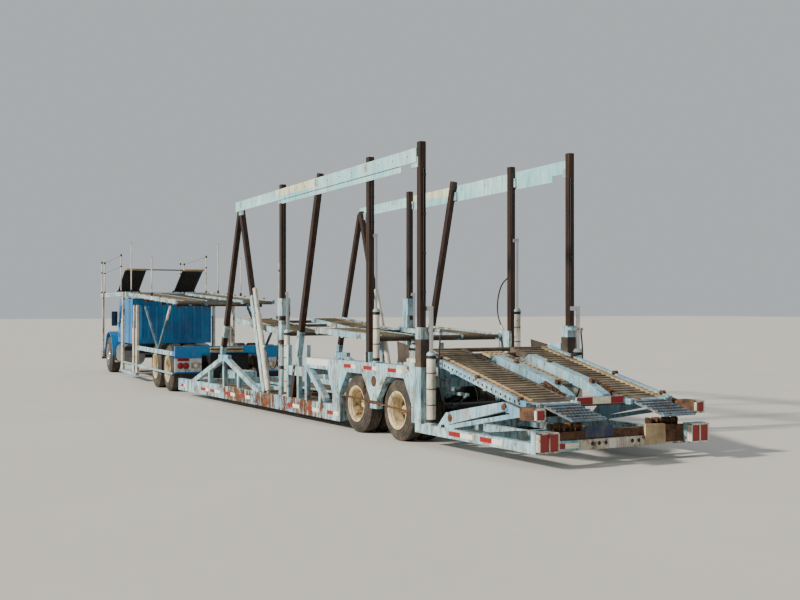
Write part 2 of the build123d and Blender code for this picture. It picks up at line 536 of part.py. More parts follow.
# Ribbed end flaps hinged on the rear deck's tail
FLAP_RIBS = 6
PIN_REACH = RUN_GAP + LUG_WIDTH
for side_name, side in SIDES:
    flap_y = mirrored(side, TRACK_INNER, TRACK_OUTER)
    with BuildPart() as flap:
        plate(strip(along(FLAP_HINGE, FLAP_TIP, 0.02), FLAP_TIP, 22.0), flap_y)
        round_y(*FLAP_HINGE, HINGE_RADIUS, (flap_y[0] - PIN_REACH, flap_y[1] + PIN_REACH))
        for number in range(FLAP_RIBS):
            rib_x, rib_z = along(FLAP_HINGE, FLAP_TIP, 0.12 + 0.165 * number)
            block((rib_x - 14.0, rib_x + 14.0), flap_y, (rib_z, rib_z + 26.0))
    finish(flap, f"end_flap_{side_name}", TRAILER)


def hose(route, name):
    """A round hose of straight runs joined by tangent arcs, each as wide as its runs allow."""
    points = [Vector(*point) for point in route]
    radii = []
    for before, corner, after in zip(points, points[1:], points[2:]):
        run_in, run_out = corner - before, after - corner
        half_turn = acos(run_in.normalized().dot(run_out.normalized())) / 2
        radii.append(0.45 * min(run_in.length, run_out.length) / tan(half_turn))
    with BuildPart() as tube:
        with BuildLine():
            FilletPolyline(*points, radius=radii)
        with BuildSketch(Plane(origin=points[0], z_dir=points[1] - points[0])):
            Circle(HOSE / 2)
        sweep()
    finish(tube, name, TRAILER)


for side_name, side in SIDES:
    hose(on_side(LIFT_HOSE, side), f"lift_hose_{side_name}")
hose(POST_HOSE, "post_hose")
hose(RACK_HOSE, "rack_hose")

# TRACTOR: chassis rails, drop box and stinger with the hitch plate
MAST_XS = (4450.0, 4860.0, MAST_U)
MAST_SIZE = 80.0
with BuildPart() as chassis:
    pair((450.0, HOOD_FRONT - 40.0 - SEAT), (CHASSIS_INNER, CHASSIS_OUTER), (CHASSIS_LOW, CHASSIS_TOP))
    for cross_u in (460.0, 3400.0, 5000.0, CAB_REAR + 250.0, CAB_REAR + 1850.0, HOOD_FRONT - 130.0):
        block((cross_u, cross_u + 80.0), (-CHASSIS_INNER, CHASSIS_INNER), (CHASSIS_LOW + 40.0, CHASSIS_TOP - 40.0))
    block((350.0, 450.0), (-CHASSIS_OUTER, CHASSIS_OUTER), (FIFTH_WHEEL_TOP - 180.0, CHASSIS_TOP))
    block((-150.0, 350.0), (-230.0, 230.0), (FIFTH_WHEEL_TOP - 180.0, FIFTH_WHEEL_TOP - 60.0))
    round_z(0, 0, FIFTH_WHEEL_RADIUS, (FIFTH_WHEEL_TOP - 100.0, FIFTH_WHEEL_TOP))
    round_z(0, 0, KINGPIN_RADIUS + PIN_GAP, (FIFTH_WHEEL_TOP - 60.0, FIFTH_WHEEL_TOP), Mode.SUBTRACT)
    for mast_u in MAST_XS:
        pair((mast_u, mast_u + MAST_SIZE), (CHASSIS_OUTER, POST_INNER), (CHASSIS_LOW + 60.0, CHASSIS_LOW + 160.0))
finish(chassis, "chassis", TRACTOR)

# Upright masts beside the tractor, and the V struts by the drive wheels
GUARD_THICK = 30.0
SILL_TOP = 220.0
MARKER_Z = (800.0, 900.0)
FRONT_MAST_U = STEER_AXLE + 650.0
with BuildPart() as side_masts:
    mast_y = (POST_INNER, POST_OUTER - GUARD_THICK - SEAT)
    strut_y = (POST_OUTER - 35.0, POST_OUTER)
    for mast_u, mast_top in zip(MAST_XS, (1900.0, 1900.0, RACK_TOP)):
        pair((mast_u, mast_u + MAST_SIZE), mast_y, (SILL_TOP, mast_top))
    pair((FRONT_MAST_U, FRONT_MAST_U + 90.0), mast_y, (420.0, RACK_TOP))
    # V struts: foot u, top u
    for foot_u, top_u in ((1860.0, 3330.0), (1800.0, 570.0)):
        bar_pair((foot_u, MARKER_Z[1] + 10.0), (top_u, 1850.0), 70.0, strut_y)
    pair((1700.0, 1960.0), strut_y, (MARKER_Z[0], MARKER_Z[1]), Mode.SUBTRACT)
finish(side_masts, "side_masts", TRACTOR)

# Long bars of the side frames: sill, marker rail and guard bar
with BuildPart() as side_rails:
    pair((MAST_XS[0], MAST_U + MAST_SIZE), (POST_INNER, POST_OUTER), (150.0, SILL_TOP))
    pair((345.0, MAST_XS[0] - SEAT), (POST_INNER + 50.0, POST_OUTER), MARKER_Z)
    pair((300.0, MAST_U), (POST_OUTER - GUARD_THICK, POST_OUTER), (400.0, 440.0))
finish(side_rails, "side_rails", TRACTOR)

# Rear body of the tractor: tail beam, side arms, cross bars and lamp panels
BODY_END = 345.0 - SEAT
with BuildPart() as rear_body:
    body_z = (CHASSIS_TOP + SEAT, CHASSIS_TOP + 60.0)
    arm_inner = POST_OUTER - 60.0
    neck_outer = CHASSIS_OUTER + 40.0
    block((20.0, 110.0), (-POST_OUTER, POST_OUTER), (860.0, 1010.0))
    pair((20.0, 60.0), (700.0, POST_OUTER), (440.0, 860.0))
    pair((60.0, BODY_END), (arm_inner, POST_OUTER), MARKER_Z)
    pair((300.0, BODY_END), (CHASSIS_OUTER + SEAT, arm_inner), (800.0, 860.0))
    block((110.0, 450.0), (-CHASSIS_OUTER, CHASSIS_OUTER), body_z)
    pair((250.0, 300.0), (CHASSIS_OUTER, neck_outer), body_z)
    pair((300.0, BODY_END), (CHASSIS_OUTER + SEAT, neck_outer), (860.0, body_z[1]))
finish(rear_body, "rear_body", TRACTOR)

with BuildPart() as mud_flaps:
    pair((25.0, 45.0), (740.0, 1150.0), (60.0, 440.0 - SEAT))
finish(mud_flaps, "mud_flaps", TRACTOR)

# Drive axles with their centre housings, and the shaft between them
with BuildPart() as drive_axles:
    axle_z = TRACTOR_TYRE / 2
    for axle_u in DRIVE_AXLES:
        round_y(axle_u, axle_z, SPINDLE + 25.0, (-DRIVE_INNER_Y, DRIVE_INNER_Y))
        round_y(axle_u, axle_z, SPINDLE, (-DRIVE_HUB_Y + 20.0, DRIVE_HUB_Y - 20.0))
        round_y(axle_u, axle_z, 190.0, (-150.0, 150.0))
        pair((axle_u - 120.0, axle_u + 120.0), (CHASSIS_INNER, CHASSIS_OUTER), (axle_z + 60.0, CHASSIS_LOW))
    block((DRIVE_AXLES[0] + 150.0, DRIVE_AXLES[1] - 150.0), (-50.0, 50.0), (axle_z - 50.0, axle_z + 50.0))
finish(drive_axles, "drive_axles", TRACTOR)

# Steer axle beam with its springs
STEER_BEAM_Z = (400.0, 490.0)
SPRING_HALF = 480.0
with BuildPart() as steer_beam:
    block((STEER_AXLE - 50.0, STEER_AXLE + 50.0), (-KINGPIN_Y, KINGPIN_Y), STEER_BEAM_Z)
    for side in BOTH:
        round_z(STEER_AXLE, side * KINGPIN_Y, 60.0, STEER_BEAM_Z)
        round_z(STEER_AXLE, side * KINGPIN_Y, KINGPIN_RADIUS + PIN_GAP, STEER_BEAM_Z, Mode.SUBTRACT)
    spring_y = (CHASSIS_INNER, CHASSIS_OUTER)
    pair((STEER_AXLE - SPRING_HALF, STEER_AXLE + SPRING_HALF), spring_y, (STEER_BEAM_Z[1], 570.0))
    pair((STEER_AXLE - SPRING_HALF, STEER_AXLE - SPRING_HALF + 80.0), spring_y, (570.0, CHASSIS_LOW))
    pair((STEER_AXLE + SPRING_HALF - 80.0, STEER_AXLE + SPRING_HALF), spring_y, (570.0, CHASSIS_LOW))
finish(steer_beam, "steer_beam", TRACTOR)

KNUCKLE_UPPER = (STEER_BEAM_Z[1] + 5.0, 570.0)
KNUCKLE_LOWER = (330.0, STEER_BEAM_Z[0] - 5.0)
AXLE_STUB = 40.0
for side_name, side in SIDES:
    with BuildPart() as knuckle:
        for ear_z in (KNUCKLE_UPPER, KNUCKLE_LOWER):
            round_z(STEER_AXLE, side * KINGPIN_Y, 55.0, ear_z)
            block((STEER_AXLE - 50.0, STEER_AXLE + 50.0), mirrored(side, KINGPIN_Y + 25.0, KINGPIN_Y + 100.0), ear_z)
        round_z(STEER_AXLE, side * KINGPIN_Y, KINGPIN_RADIUS, (KNUCKLE_LOWER[0], KNUCKLE_UPPER[1]))
        block((STEER_AXLE - 60.0, STEER_AXLE + 60.0), mirrored(side, KINGPIN_Y + 70.0, KINGPIN_Y + 100.0),
              (KNUCKLE_LOWER[0], 600.0))
        round_y(STEER_AXLE, TRACTOR_TYRE / 2, AXLE_STUB, mirrored(side, KINGPIN_Y + 90.0, KINGPIN_Y + 270.0))
    finish(knuckle, f"knuckle_{side_name}", TRACTOR)

DRIVE_FACES = ((DRIVE_INNER_Y, DRIVE_INNER_Y + DRIVE_WIDTH), (DRIVE_FACE - DRIVE_WIDTH, DRIVE_FACE))
for axle_name, axle_u in zip(("rear", "front"), DRIVE_AXLES):
    for side_name, side in SIDES:
        with BuildPart() as drive_wheel:
            wheel(axle_u, side, TRACTOR_TYRE / 2, TRACTOR_RIM / 2, DRIVE_FACES,
                  (DRIVE_MID_Y - DISC_HALF, DRIVE_MID_Y + DISC_HALF), (DRIVE_MID_Y - 40.0, DRIVE_HUB_Y, 115.0),
                  SPINDLE + PIN_GAP, DRIVE_HUB_Y - HUB_CAP)
        finish(drive_wheel, f"drive_{axle_name}_wheels_{side_name}", TRACTOR)

for side_name, side in SIDES:
    with BuildPart() as steer_wheel:
        wheel(STEER_AXLE, side, TRACTOR_TYRE / 2, TRACTOR_RIM / 2, ((STEER_FACE - STEER_WIDTH, STEER_FACE), ),
              (STEER_FACE - 100.0, STEER_FACE - 70.0), (STEER_FACE - 180.0, STEER_FACE + 10.0, 110.0),
              AXLE_STUB + PIN_GAP, STEER_FACE - 55.0)
    finish(steer_wheel, f"steer_wheel_{side_name}", TRACTOR)

# Cab shell: one hollow body with door and window openings
WINDSHIELD_FOOT = 1480.0
WINDSHIELD_LEAN = 280.0
CAB_SIDE = [(CAB_REAR, CAB_FLOOR), (CAB_FRONT, CAB_FLOOR), (CAB_FRONT, WINDSHIELD_FOOT),
            (CAB_FRONT - WINDSHIELD_LEAN, CAB_ROOF), (CAB_REAR, CAB_ROOF)]
CAB_INSIDE = [(CAB_REAR + CAB_WALL, CAB_FLOOR + CAB_WALL), (CAB_FRONT - CAB_WALL, CAB_FLOOR + CAB_WALL),
              (CAB_FRONT - CAB_WALL, WINDSHIELD_FOOT - 10.0),
              (CAB_FRONT - WINDSHIELD_LEAN - 25.0, CAB_ROOF - CAB_WALL), (CAB_REAR + CAB_WALL, CAB_ROOF - CAB_WALL)]
DOOR_U = (CAB_FRONT - 1070.0, CAB_FRONT - 170.0)
DOOR_Z = (CAB_FLOOR + 30.0, CAB_ROOF - 120.0)
DOOR_OUTLINE = [(DOOR_U[0], DOOR_Z[0]), (DOOR_U[1], DOOR_Z[0]), (DOOR_U[1], WINDSHIELD_FOOT),
                (DOOR_U[1] - 190.0, DOOR_Z[1]), (DOOR_U[0], DOOR_Z[1])]
DOOR_GAP = 6.0
WINDOW_LOW = WINDSHIELD_FOOT - 60.0
WINDOW_OUTLINE = [(DOOR_U[0] + 90.0, WINDOW_LOW), (DOOR_U[1] - 70.0, WINDOW_LOW),
                  (DOOR_U[1] - 70.0, WINDOW_LOW + 70.0), (DOOR_U[1] - 235.0, DOOR_Z[1] - 70.0),
                  (DOOR_U[0] + 90.0, DOOR_Z[1] - 70.0)]
DOOR_HINGE = (DOOR_U[1] - 12.0, CAB_HALF + 14.0)
HINGE_HEIGHTS = (CAB_FLOOR + 120.0, CAB_FLOOR + 400.0)
HINGE_LONG = 90.0
PANE_EDGE = 150.0


def grown(points, amount):
    """Corner points moved away from their middle by about one amount each way."""
    mid_x = (min(p[0] for p in points) + max(p[0] for p in points)) / 2
    mid_z = (min(p[1] for p in points) + max(p[1] for p in points)) / 2
    return [(p[0] + (amount if p[0] > mid_x else -amount), p[1] + (amount if p[1] > mid_z else -amount))
            for p in points]


with BuildPart() as cab_shell:
    plate(CAB_SIDE, (-CAB_HALF, CAB_HALF))
    plate(CAB_INSIDE, (-CAB_HALF + CAB_WALL, CAB_HALF - CAB_WALL), Mode.SUBTRACT)
    plate_pair(grown(DOOR_OUTLINE, DOOR_GAP), (CAB_HALF - CAB_WALL - 2 * DOOR_GAP, CAB_HALF + 1.0), Mode.SUBTRACT)
    pair((CAB_FRONT - 400.0, CAB_FRONT + 10.0), (25.0, CAB_HALF - PANE_EDGE),
         (WINDSHIELD_FOOT + 50.0, CAB_ROOF - 95.0), Mode.SUBTRACT)
    pair((CAB_REAR + 60.0, CAB_FRONT - 200.0), (CHASSIS_INNER, CHASSIS_OUTER), (CHASSIS_TOP, CAB_FLOOR))
    for hinge_z in HINGE_HEIGHTS:
        leaf_z = (hinge_z + HINGE_LONG + SEAT, hinge_z + HINGE_LONG + 40.0)
        pair((DOOR_U[1] + 12.0, DOOR_U[1] + 40.0), (CAB_HALF, CAB_HALF + 20.0), leaf_z)
        pair((DOOR_HINGE[0], DOOR_U[1] + 12.0), (CAB_HALF + 6.0, CAB_HALF + 20.0), leaf_z)
finish(cab_shell, "cab_shell", TRACTOR)

with BuildPart() as windshield:
    glass_foot = (CAB_FRONT - 14.0, WINDSHIELD_FOOT)
    glass_top = (CAB_FRONT - WINDSHIELD_LEAN - 14.0, CAB_ROOF)
    glass_rise = CAB_ROOF - WINDSHIELD_FOOT
    lower = along(glass_foot, glass_top, 50.0 / glass_rise + 0.005)
    upper = along(glass_foot, glass_top, (glass_rise - 95.0) / glass_rise - 0.005)
    plate_pair(strip(lower, upper, 6.0), (25.0 + SEAT, CAB_HALF - PANE_EDGE - SEAT))
finish(windshield, "windshield", TRACTOR)

# Doors with their window, hinge leaves and a mirror on an arm
for side_name, side in SIDES:
    door_y = mirrored(side, CAB_HALF - CAB_WALL, CAB_HALF)
    mirror_u = DOOR_U[1] - 60.0
    with BuildPart() as door:
        plate(DOOR_OUTLINE, door_y)
        plate(WINDOW_OUTLINE, (door_y[0] - 1.0, door_y[1] + 1.0), Mode.SUBTRACT)
        for hinge_z in HINGE_HEIGHTS:
            leaf_z = (hinge_z, hinge_z + HINGE_LONG)
            round_z(DOOR_HINGE[0], side * DOOR_HINGE[1], 10.0, leaf_z)
            block((DOOR_HINGE[0] - 60.0, DOOR_HINGE[0]), mirrored(side, CAB_HALF - 5.0, DOOR_HINGE[1]), leaf_z)
        block((mirror_u, mirror_u + 25.0), mirrored(side, CAB_HALF - 5.0, CAB_HALF + 90.0), (1395.0, 1420.0))
        block((mirror_u - 20.0, mirror_u + 45.0), mirrored(side, CAB_HALF + 60.0, CAB_HALF + 215.0), (1330.0, 1730.0))
    finish(door, f"door_{side_name}", TRACTOR)
    with BuildPart() as door_glass:
        glass_mid = side * (CAB_HALF - CAB_WALL / 2)
        plate(grown(WINDOW_OUTLINE, -SEAT), (glass_mid - 3.0, glass_mid + 3.0))
    finish(door_glass, f"door_glass_{side_name}", TRACTOR)

# Hood with fenders over the steered wheels
HOOD_REAR = CAB_FRONT + 12.0
HOOD_SIDE = [(HOOD_REAR, 700.0), (HOOD_REAR, 1470.0), (HOOD_FRONT - 140.0, 1360.0), (HOOD_FRONT, 1240.0),
             (HOOD_FRONT, CHASSIS_LOW + 10.0)]
HOOD_INSIDE = [(CAB_FRONT - 10.0, 500.0), (CAB_FRONT - 10.0, 1430.0), (HOOD_FRONT - 160.0, 1320.0),
               (HOOD_FRONT - 40.0, 1220.0), (HOOD_FRONT - 40.0, 500.0)]
FENDER_RADIUS = 660.0
FENDER_SKIN = 40.0
GRILLE_HALF = 430.0
GRILLE_Z = (680.0, 1180.0)
with BuildPart() as hood:
    plate(HOOD_SIDE, (-HOOD_HALF, HOOD_HALF))
    round_y(STEER_AXLE, TRACTOR_TYRE / 2, FENDER_RADIUS, (-STEER_FACE, STEER_FACE))
    block((STEER_AXLE - FENDER_RADIUS - 1.0, STEER_AXLE + FENDER_RADIUS + 1.0), (-STEER_FACE - 1.0, STEER_FACE + 1.0),
          (-TRACTOR_TYRE, TRACTOR_TYRE / 2), Mode.SUBTRACT)
    round_y(STEER_AXLE, TRACTOR_TYRE / 2, FENDER_RADIUS - FENDER_SKIN, (-STEER_FACE - 1.0, STEER_FACE + 1.0),
            Mode.SUBTRACT)
    plate(HOOD_INSIDE, (-HOOD_HALF + 40.0, HOOD_HALF - 40.0), Mode.SUBTRACT)
    block((HOOD_FRONT - 100.0, HOOD_FRONT + 100.0), (-GRILLE_HALF, GRILLE_HALF), GRILLE_Z, Mode.SUBTRACT)
    block((HOOD_REAR - 62.0, HOOD_REAR + 48.0), (-HOOD_HALF - 1.0, HOOD_HALF + 1.0), (500.0, 860.0), Mode.SUBTRACT)
finish(hood, "hood", TRACTOR)

# Bumper with its tow eyes, and the barred grille
TOW_EYE = 45.0
TOW_EYE_Y = 550.0
GRILLE_BARS = 10
with BuildPart() as bumper:
    block((HOOD_FRONT + 30.0, FRONT_U), (-STEER_FACE, STEER_FACE), (330.0, 620.0))
    pair((HOOD_FRONT - 250.0, HOOD_FRONT + 30.0), (CHASSIS_INNER, CHASSIS_OUTER), (550.0, CHASSIS_LOW))
    with BuildSketch(Plane.YZ.offset(HOOD_FRONT + 20.0)):
        with Locations((-TOW_EYE_Y, 480.0), (TOW_EYE_Y, 480.0)):
            Circle(TOW_EYE)
    extrude(amount=200.0, mode=Mode.SUBTRACT)
    block((HOOD_FRONT - 35.0, HOOD_FRONT - 15.0), (-GRILLE_HALF + SEAT, GRILLE_HALF - SEAT),
          (GRILLE_Z[0] + SEAT, GRILLE_Z[1] - SEAT))
    for number in range(GRILLE_BARS):
        bar_y = -380.0 + number * 84.0
        block((HOOD_FRONT - 15.0, HOOD_FRONT + 5.0), (bar_y - 12.0, bar_y + 12.0),
              (GRILLE_Z[0] + 10.0, GRILLE_Z[1] - 20.0))
finish(bumper, "bumper", TRACTOR)

with BuildPart() as head_lamps:
    lamp_y = (HOOD_HALF, HOOD_HALF + 260.0)
    lamp_z = (660.0, 790.0)
    pair((HOOD_FRONT, HOOD_FRONT + 28.0), (lamp_y[0] + 40.0, lamp_y[1]), lamp_z)
    pair((HOOD_FRONT - 80.0, HOOD_FRONT), lamp_y, lamp_z)
finish(head_lamps, "head_lamps", TRACTOR)

with BuildPart() as engine_block:
    engine_half = CHASSIS_INNER - 10.0
    block((HOOD_REAR + 118.0, HOOD_FRONT - 220.0), (-engine_half, engine_half), (620.0, 1250.0))
    pair((HOOD_REAR + 438.0, HOOD_REAR + 538.0), (engine_half, CHASSIS_INNER), (700.0, 820.0))
finish(engine_block, "engine_block", TRACTOR)

# Seats, dashboard, bunk and steering wheel
with BuildPart() as cab_interior:
    floor = CAB_FLOOR + CAB_WALL
    for side in BOTH:
        seat_y = mirrored(side, CAB_HALF - 700.0, CAB_HALF - 220.0)
        block((CAB_FRONT - 1070.0, CAB_FRONT - 590.0), seat_y, (floor + 200.0, floor + 330.0))
        plate([(CAB_FRONT - 1070.0, floor + 300.0), (CAB_FRONT - 960.0, floor + 300.0),
               (CAB_FRONT - 1070.0, floor + 950.0), (CAB_FRONT - 1170.0, floor + 950.0)], seat_y)
        block((CAB_FRONT - 1010.0, CAB_FRONT - 650.0), (seat_y[0] + 70.0, seat_y[1] - 70.0), (floor, floor + 210.0))
    dash_half = CAB_HALF - 120.0
    block((CAB_FRONT - 260.0, CAB_FRONT - 60.0), (-dash_half, dash_half), (floor + 250.0, WINDSHIELD_FOOT - 40.0))
    block((CAB_FRONT - 160.0, CAB_FRONT - 60.0), (-300.0, 300.0), (floor, floor + 250.0))
    block((CAB_REAR + 60.0, CAB_REAR + 750.0), (-CAB_HALF + 100.0, CAB_HALF - 100.0), (floor, floor + 330.0))
    rim_plane = Plane(origin=(CAB_FRONT - 420.0, CAB_HALF - 460.0, 1400.0), x_dir=(0, 1, 0), z_dir=(-0.85, 0, 0.52))
    with BuildSketch(rim_plane):
        Circle(220.0)
        Circle(188.0, mode=Mode.SUBTRACT)
        Rectangle(400.0, 34.0)
        Circle(50.0)
    extrude(amount=26.0)
    with BuildSketch(rim_plane):
        Circle(25.0)
    extrude(amount=-200.0)
finish(cab_interior, "cab_interior", TRACTOR)

# Fuel tanks with the cab steps ahead of them
TANK_WIDE = 560.0
TANK_U = CAB_REAR + 470.0
TANK_LONG = 1150.0
with BuildPart() as tanks_and_steps:
    tank_inner = STEER_FACE - TANK_WIDE
    for side in BOTH:
        with BuildSketch(Plane.YZ.offset(TANK_U)):
            with Locations((side * (STEER_FACE - TANK_WIDE / 2), 590.0)):
                RectangleRounded(TANK_WIDE, TANK_WIDE, 200.0)
        extrude(amount=TANK_LONG)
    for strap_u in (TANK_U + 280.0, TANK_U + 880.0):
        pair((strap_u, strap_u + 60.0), (CHASSIS_OUTER, tank_inner + 20.0), (690.0, 760.0))
    step_u = (CAB_FRONT - 390.0, CAB_FRONT + 10.0)
    step_y = (tank_inner + 80.0, STEER_FACE - 40.0)
    pair(step_u, step_y, (330.0, 370.0))
    pair(step_u, (step_y[0], step_y[1] - 40.0), (620.0, 660.0))
    pair((step_u[0], step_u[0] + 30.0), step_y, (330.0, 700.0))
    pair((step_u[1] - 30.0, step_u[1]), step_y, (330.0, 700.0))
    pair((step_u[0] + 130.0, step_u[0] + 200.0), (CHASSIS_OUTER, step_y[0] + 20.0), (650.0, 700.0))
finish(tanks_and_steps, "tanks_and_steps", TRACTOR)

# Deck above the tractor, with stanchions on its side rails: distance behind the pivot, side, top
TRACTOR_PIVOT = (CAB_REAR + 200.0, RACK_LOW + 50.0)
TRACTOR_DECK_END = (650.0, 1960.0)
DECK_STANCHIONS = ((2970.0, 1, 3050.0), (330.0, 1, 3520.0), (2970.0, -1, 3050.0), (760.0, -1, 3520.0))
STANCHION = 15.0
with BuildPart() as tractor_deck:
    deck(TRACTOR_PIVOT, TRACTOR_DECK_END)
    for post_back, side, post_top in DECK_STANCHIONS:
        post_u = TRACTOR_PIVOT[0] - post_back
        rail_z = above(TRACTOR_PIVOT, TRACTOR_DECK_END, post_u, 0.0)[1]
        round_z(post_u, side * (DECK_OUTER - DECK_RAIL / 2), STANCHION, (rail_z, post_top))
finish(tractor_deck, "tractor_deck", TRACTOR)

# Head rack over the cab: side beams, crossbars, tracks, ramp hinge lugs and stanchions (u, top)
RAMP_HINGE = (CAB_FRONT - 50.0, RACK_TOP + 40.0)
RAMP_TIP = (RAMP_HINGE[0] - 1100.0, RAMP_HINGE[1] + 570.0)
RAMP_PIN = 18.0
RAMP_Y = (500.0, DECK_OUTER - 65.0)
RACK_STANCHIONS = ((MAST_U + 700.0, 3280.0), (FRONT_MAST_U + 130.0, 3160.0), (FRONT_U - 60.0, 3190.0))
with BuildPart() as head_rack:
    rack_y = (EAR_INNER, POST_INNER - SEAT)
    pair((MAST_U, FRONT_U), rack_y, (RACK_LOW, RACK_TOP))
    pair((TRACTOR_PIVOT[0] - 90.0, MAST_U), rack_y, (RACK_LOW - 20.0, RACK_TOP))
    for cross_u in (MAST_U + 120.0, RAMP_HINGE[0], FRONT_MAST_U, FRONT_U - 80.0):
        block((cross_u, cross_u + 80.0), (-EAR_INNER, EAR_INNER), (RACK_LOW + 20.0, RACK_TOP - 10.0))
    pair((MAST_U + 200.0, FRONT_U - 80.0), (TRACK_INNER + 20.0, TRACK_OUTER + 70.0), (RACK_TOP - 60.0, RACK_TOP - 25.0))
    round_y(*TRACTOR_PIVOT, PIVOT_RADIUS + PIN_GAP, (-HALF_WIDTH, HALF_WIDTH), Mode.SUBTRACT)
    for lug in ((RAMP_Y[0] - 50.0, RAMP_Y[0] - 10.0), (RAMP_Y[1] + 10.0, RAMP_Y[1] + 50.0)):
        pair((RAMP_HINGE[0] - 30.0, RAMP_HINGE[0] + 30.0), lug, (RACK_TOP - 50.0, RAMP_HINGE[1] + 30.0))
    round_y(*RAMP_HINGE, RAMP_PIN + PIN_GAP, (-HALF_WIDTH, HALF_WIDTH), Mode.SUBTRACT)
    for post_u, post_top in RACK_STANCHIONS:
        for side in BOTH:
            round_z(post_u, side * (EAR_INNER + 30.0), STANCHION, (RACK_TOP - 10.0, post_top))
finish(head_rack, "head_rack", TRACTOR)

# Raised head ramps: barred plates hinged on the rack, tied by a bar between their tips
RAMP_BARS = 22
with BuildPart() as head_ramps:
    for side in BOTH:
        ramp_y = mirrored(side, *RAMP_Y)
        for edge_y in ((ramp_y[0], ramp_y[0] + 40.0), (ramp_y[1] - 40.0, ramp_y[1])):
            plate(strip(RAMP_HINGE, RAMP_TIP, 40.0), edge_y)
        for number in range(RAMP_BARS):
            bar_u, bar_z = along(RAMP_HINGE, RAMP_TIP, 0.04 + 0.045 * number)
            block((bar_u - 12.0, bar_u + 12.0), ramp_y, (bar_z - 14.0, bar_z + 14.0))
        block((RAMP_TIP[0] - 200.0, RAMP_TIP[0] + 20.0), ramp_y, (RAMP_TIP[1] - 15.0, RAMP_TIP[1] + 20.0))
        round_y(*RAMP_HINGE, RAMP_PIN, (ramp_y[0] - 50.0, ramp_y[1] + 50.0))
    block((RAMP_TIP[0] - 40.0, RAMP_TIP[0]), (-RAMP_Y[0] - 20.0, RAMP_Y[0] + 20.0),
          (RAMP_TIP[1] - 15.0, RAMP_TIP[1] + 15.0))
finish(head_ramps, "head_ramps", TRACTOR)
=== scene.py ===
import json
from copy import copy
from math import cos, pi, radians, sin, tau
from random import seed, uniform

import bpy
from mathutils import Matrix, Vector


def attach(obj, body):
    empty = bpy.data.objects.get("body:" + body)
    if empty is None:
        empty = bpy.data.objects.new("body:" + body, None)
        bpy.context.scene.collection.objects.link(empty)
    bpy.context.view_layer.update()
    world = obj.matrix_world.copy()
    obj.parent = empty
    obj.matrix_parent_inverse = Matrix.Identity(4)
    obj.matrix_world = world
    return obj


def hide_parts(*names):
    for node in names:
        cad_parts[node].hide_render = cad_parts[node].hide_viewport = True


# Car transporter truck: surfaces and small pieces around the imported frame, in metres.
# Trailer pieces are placed from the trailer's tail (x, y, z), tractor pieces from the hitch pin (u, v, z).

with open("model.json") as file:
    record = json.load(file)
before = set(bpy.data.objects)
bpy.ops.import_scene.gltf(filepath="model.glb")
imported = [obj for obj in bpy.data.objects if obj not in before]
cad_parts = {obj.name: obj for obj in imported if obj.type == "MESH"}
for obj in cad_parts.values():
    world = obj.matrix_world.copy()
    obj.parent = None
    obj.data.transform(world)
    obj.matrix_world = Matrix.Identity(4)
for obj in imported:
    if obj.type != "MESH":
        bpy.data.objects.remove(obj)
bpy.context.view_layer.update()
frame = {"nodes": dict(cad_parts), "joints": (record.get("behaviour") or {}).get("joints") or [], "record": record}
JOINTS = {joint["name"]: joint for joint in frame["joints"]}
HITCH = Vector(JOINTS["hitch_turn"]["pos_m"])
HITCH_X = 12.95
HITCH_ANGLE = radians(-5.5)
TRAILER = Matrix.Translation((HITCH.x - HITCH_X, HITCH.y, 0))
TRACTOR = Matrix.Translation((HITCH.x, HITCH.y, 0)) @ Matrix.Rotation(HITCH_ANGLE, 4, "Z")
seed(7)

# Sizes shared with the frame
HALF_WIDTH = 1.285
POST_OUTER = 1.275
POST_MIDDLE = 1.2315
TRACK_INNER, TRACK_OUTER = 0.43, 0.93
WALK = (0.95, 1.07)
RAIL_START = 2.765
CAB_HALF = 1.05
CAB_REAR = 6.15
RACK_TOP = 2.25
STANCHION_V = 1.165
HOSE = 0.022

# How far a tape or plate stands proud, and the strip that it covers on an outer face
SKIN = 0.0015
BEAM_FACE = (HALF_WIDTH - 0.01, HALF_WIDTH + SKIN)
MARKER_FACE = (POST_OUTER - 0.01, POST_OUTER + SKIN)

X, Y, Z = (1, 0, 0), (0, 1, 0), (0, 0, 1)
BACK = (-1, 0, 0)
BOTH, ONE = (-1, 1), (1,)
SIDES = (("left", 1), ("right", -1))

SHARP_ANGLE = radians(40)
BEVEL_ANGLE = radians(50)
TRACTOR_BODIES = ("tractor", "head", "door", "drive", "steer")
# Record slots of the finishes that share another finish's slot
SLOTS = {
    "rim_cream": "rack_paint", "clean_paint": "rack_paint", "plate_white": "rack_paint", "tape_red": "lamp_red",
    "lamp_amber": "lamp_red", "tape_white": "cylinder_paint", "mast_paint": "cylinder_paint",
    "tan_steel": "deck_steel", "tread_ribs": "deck_steel", "rust_iron": "post_steel", "dark_iron_and_recess_shade": "axle_black",
    "navy_painted_shade": "tractor_paint", "hose_rubber": "axle_black", "mirror_silver": "bright_metal",
}


def in_scene(name, data):
    obj = bpy.data.objects.new(name, data)
    bpy.context.scene.collection.objects.link(obj)
    return obj


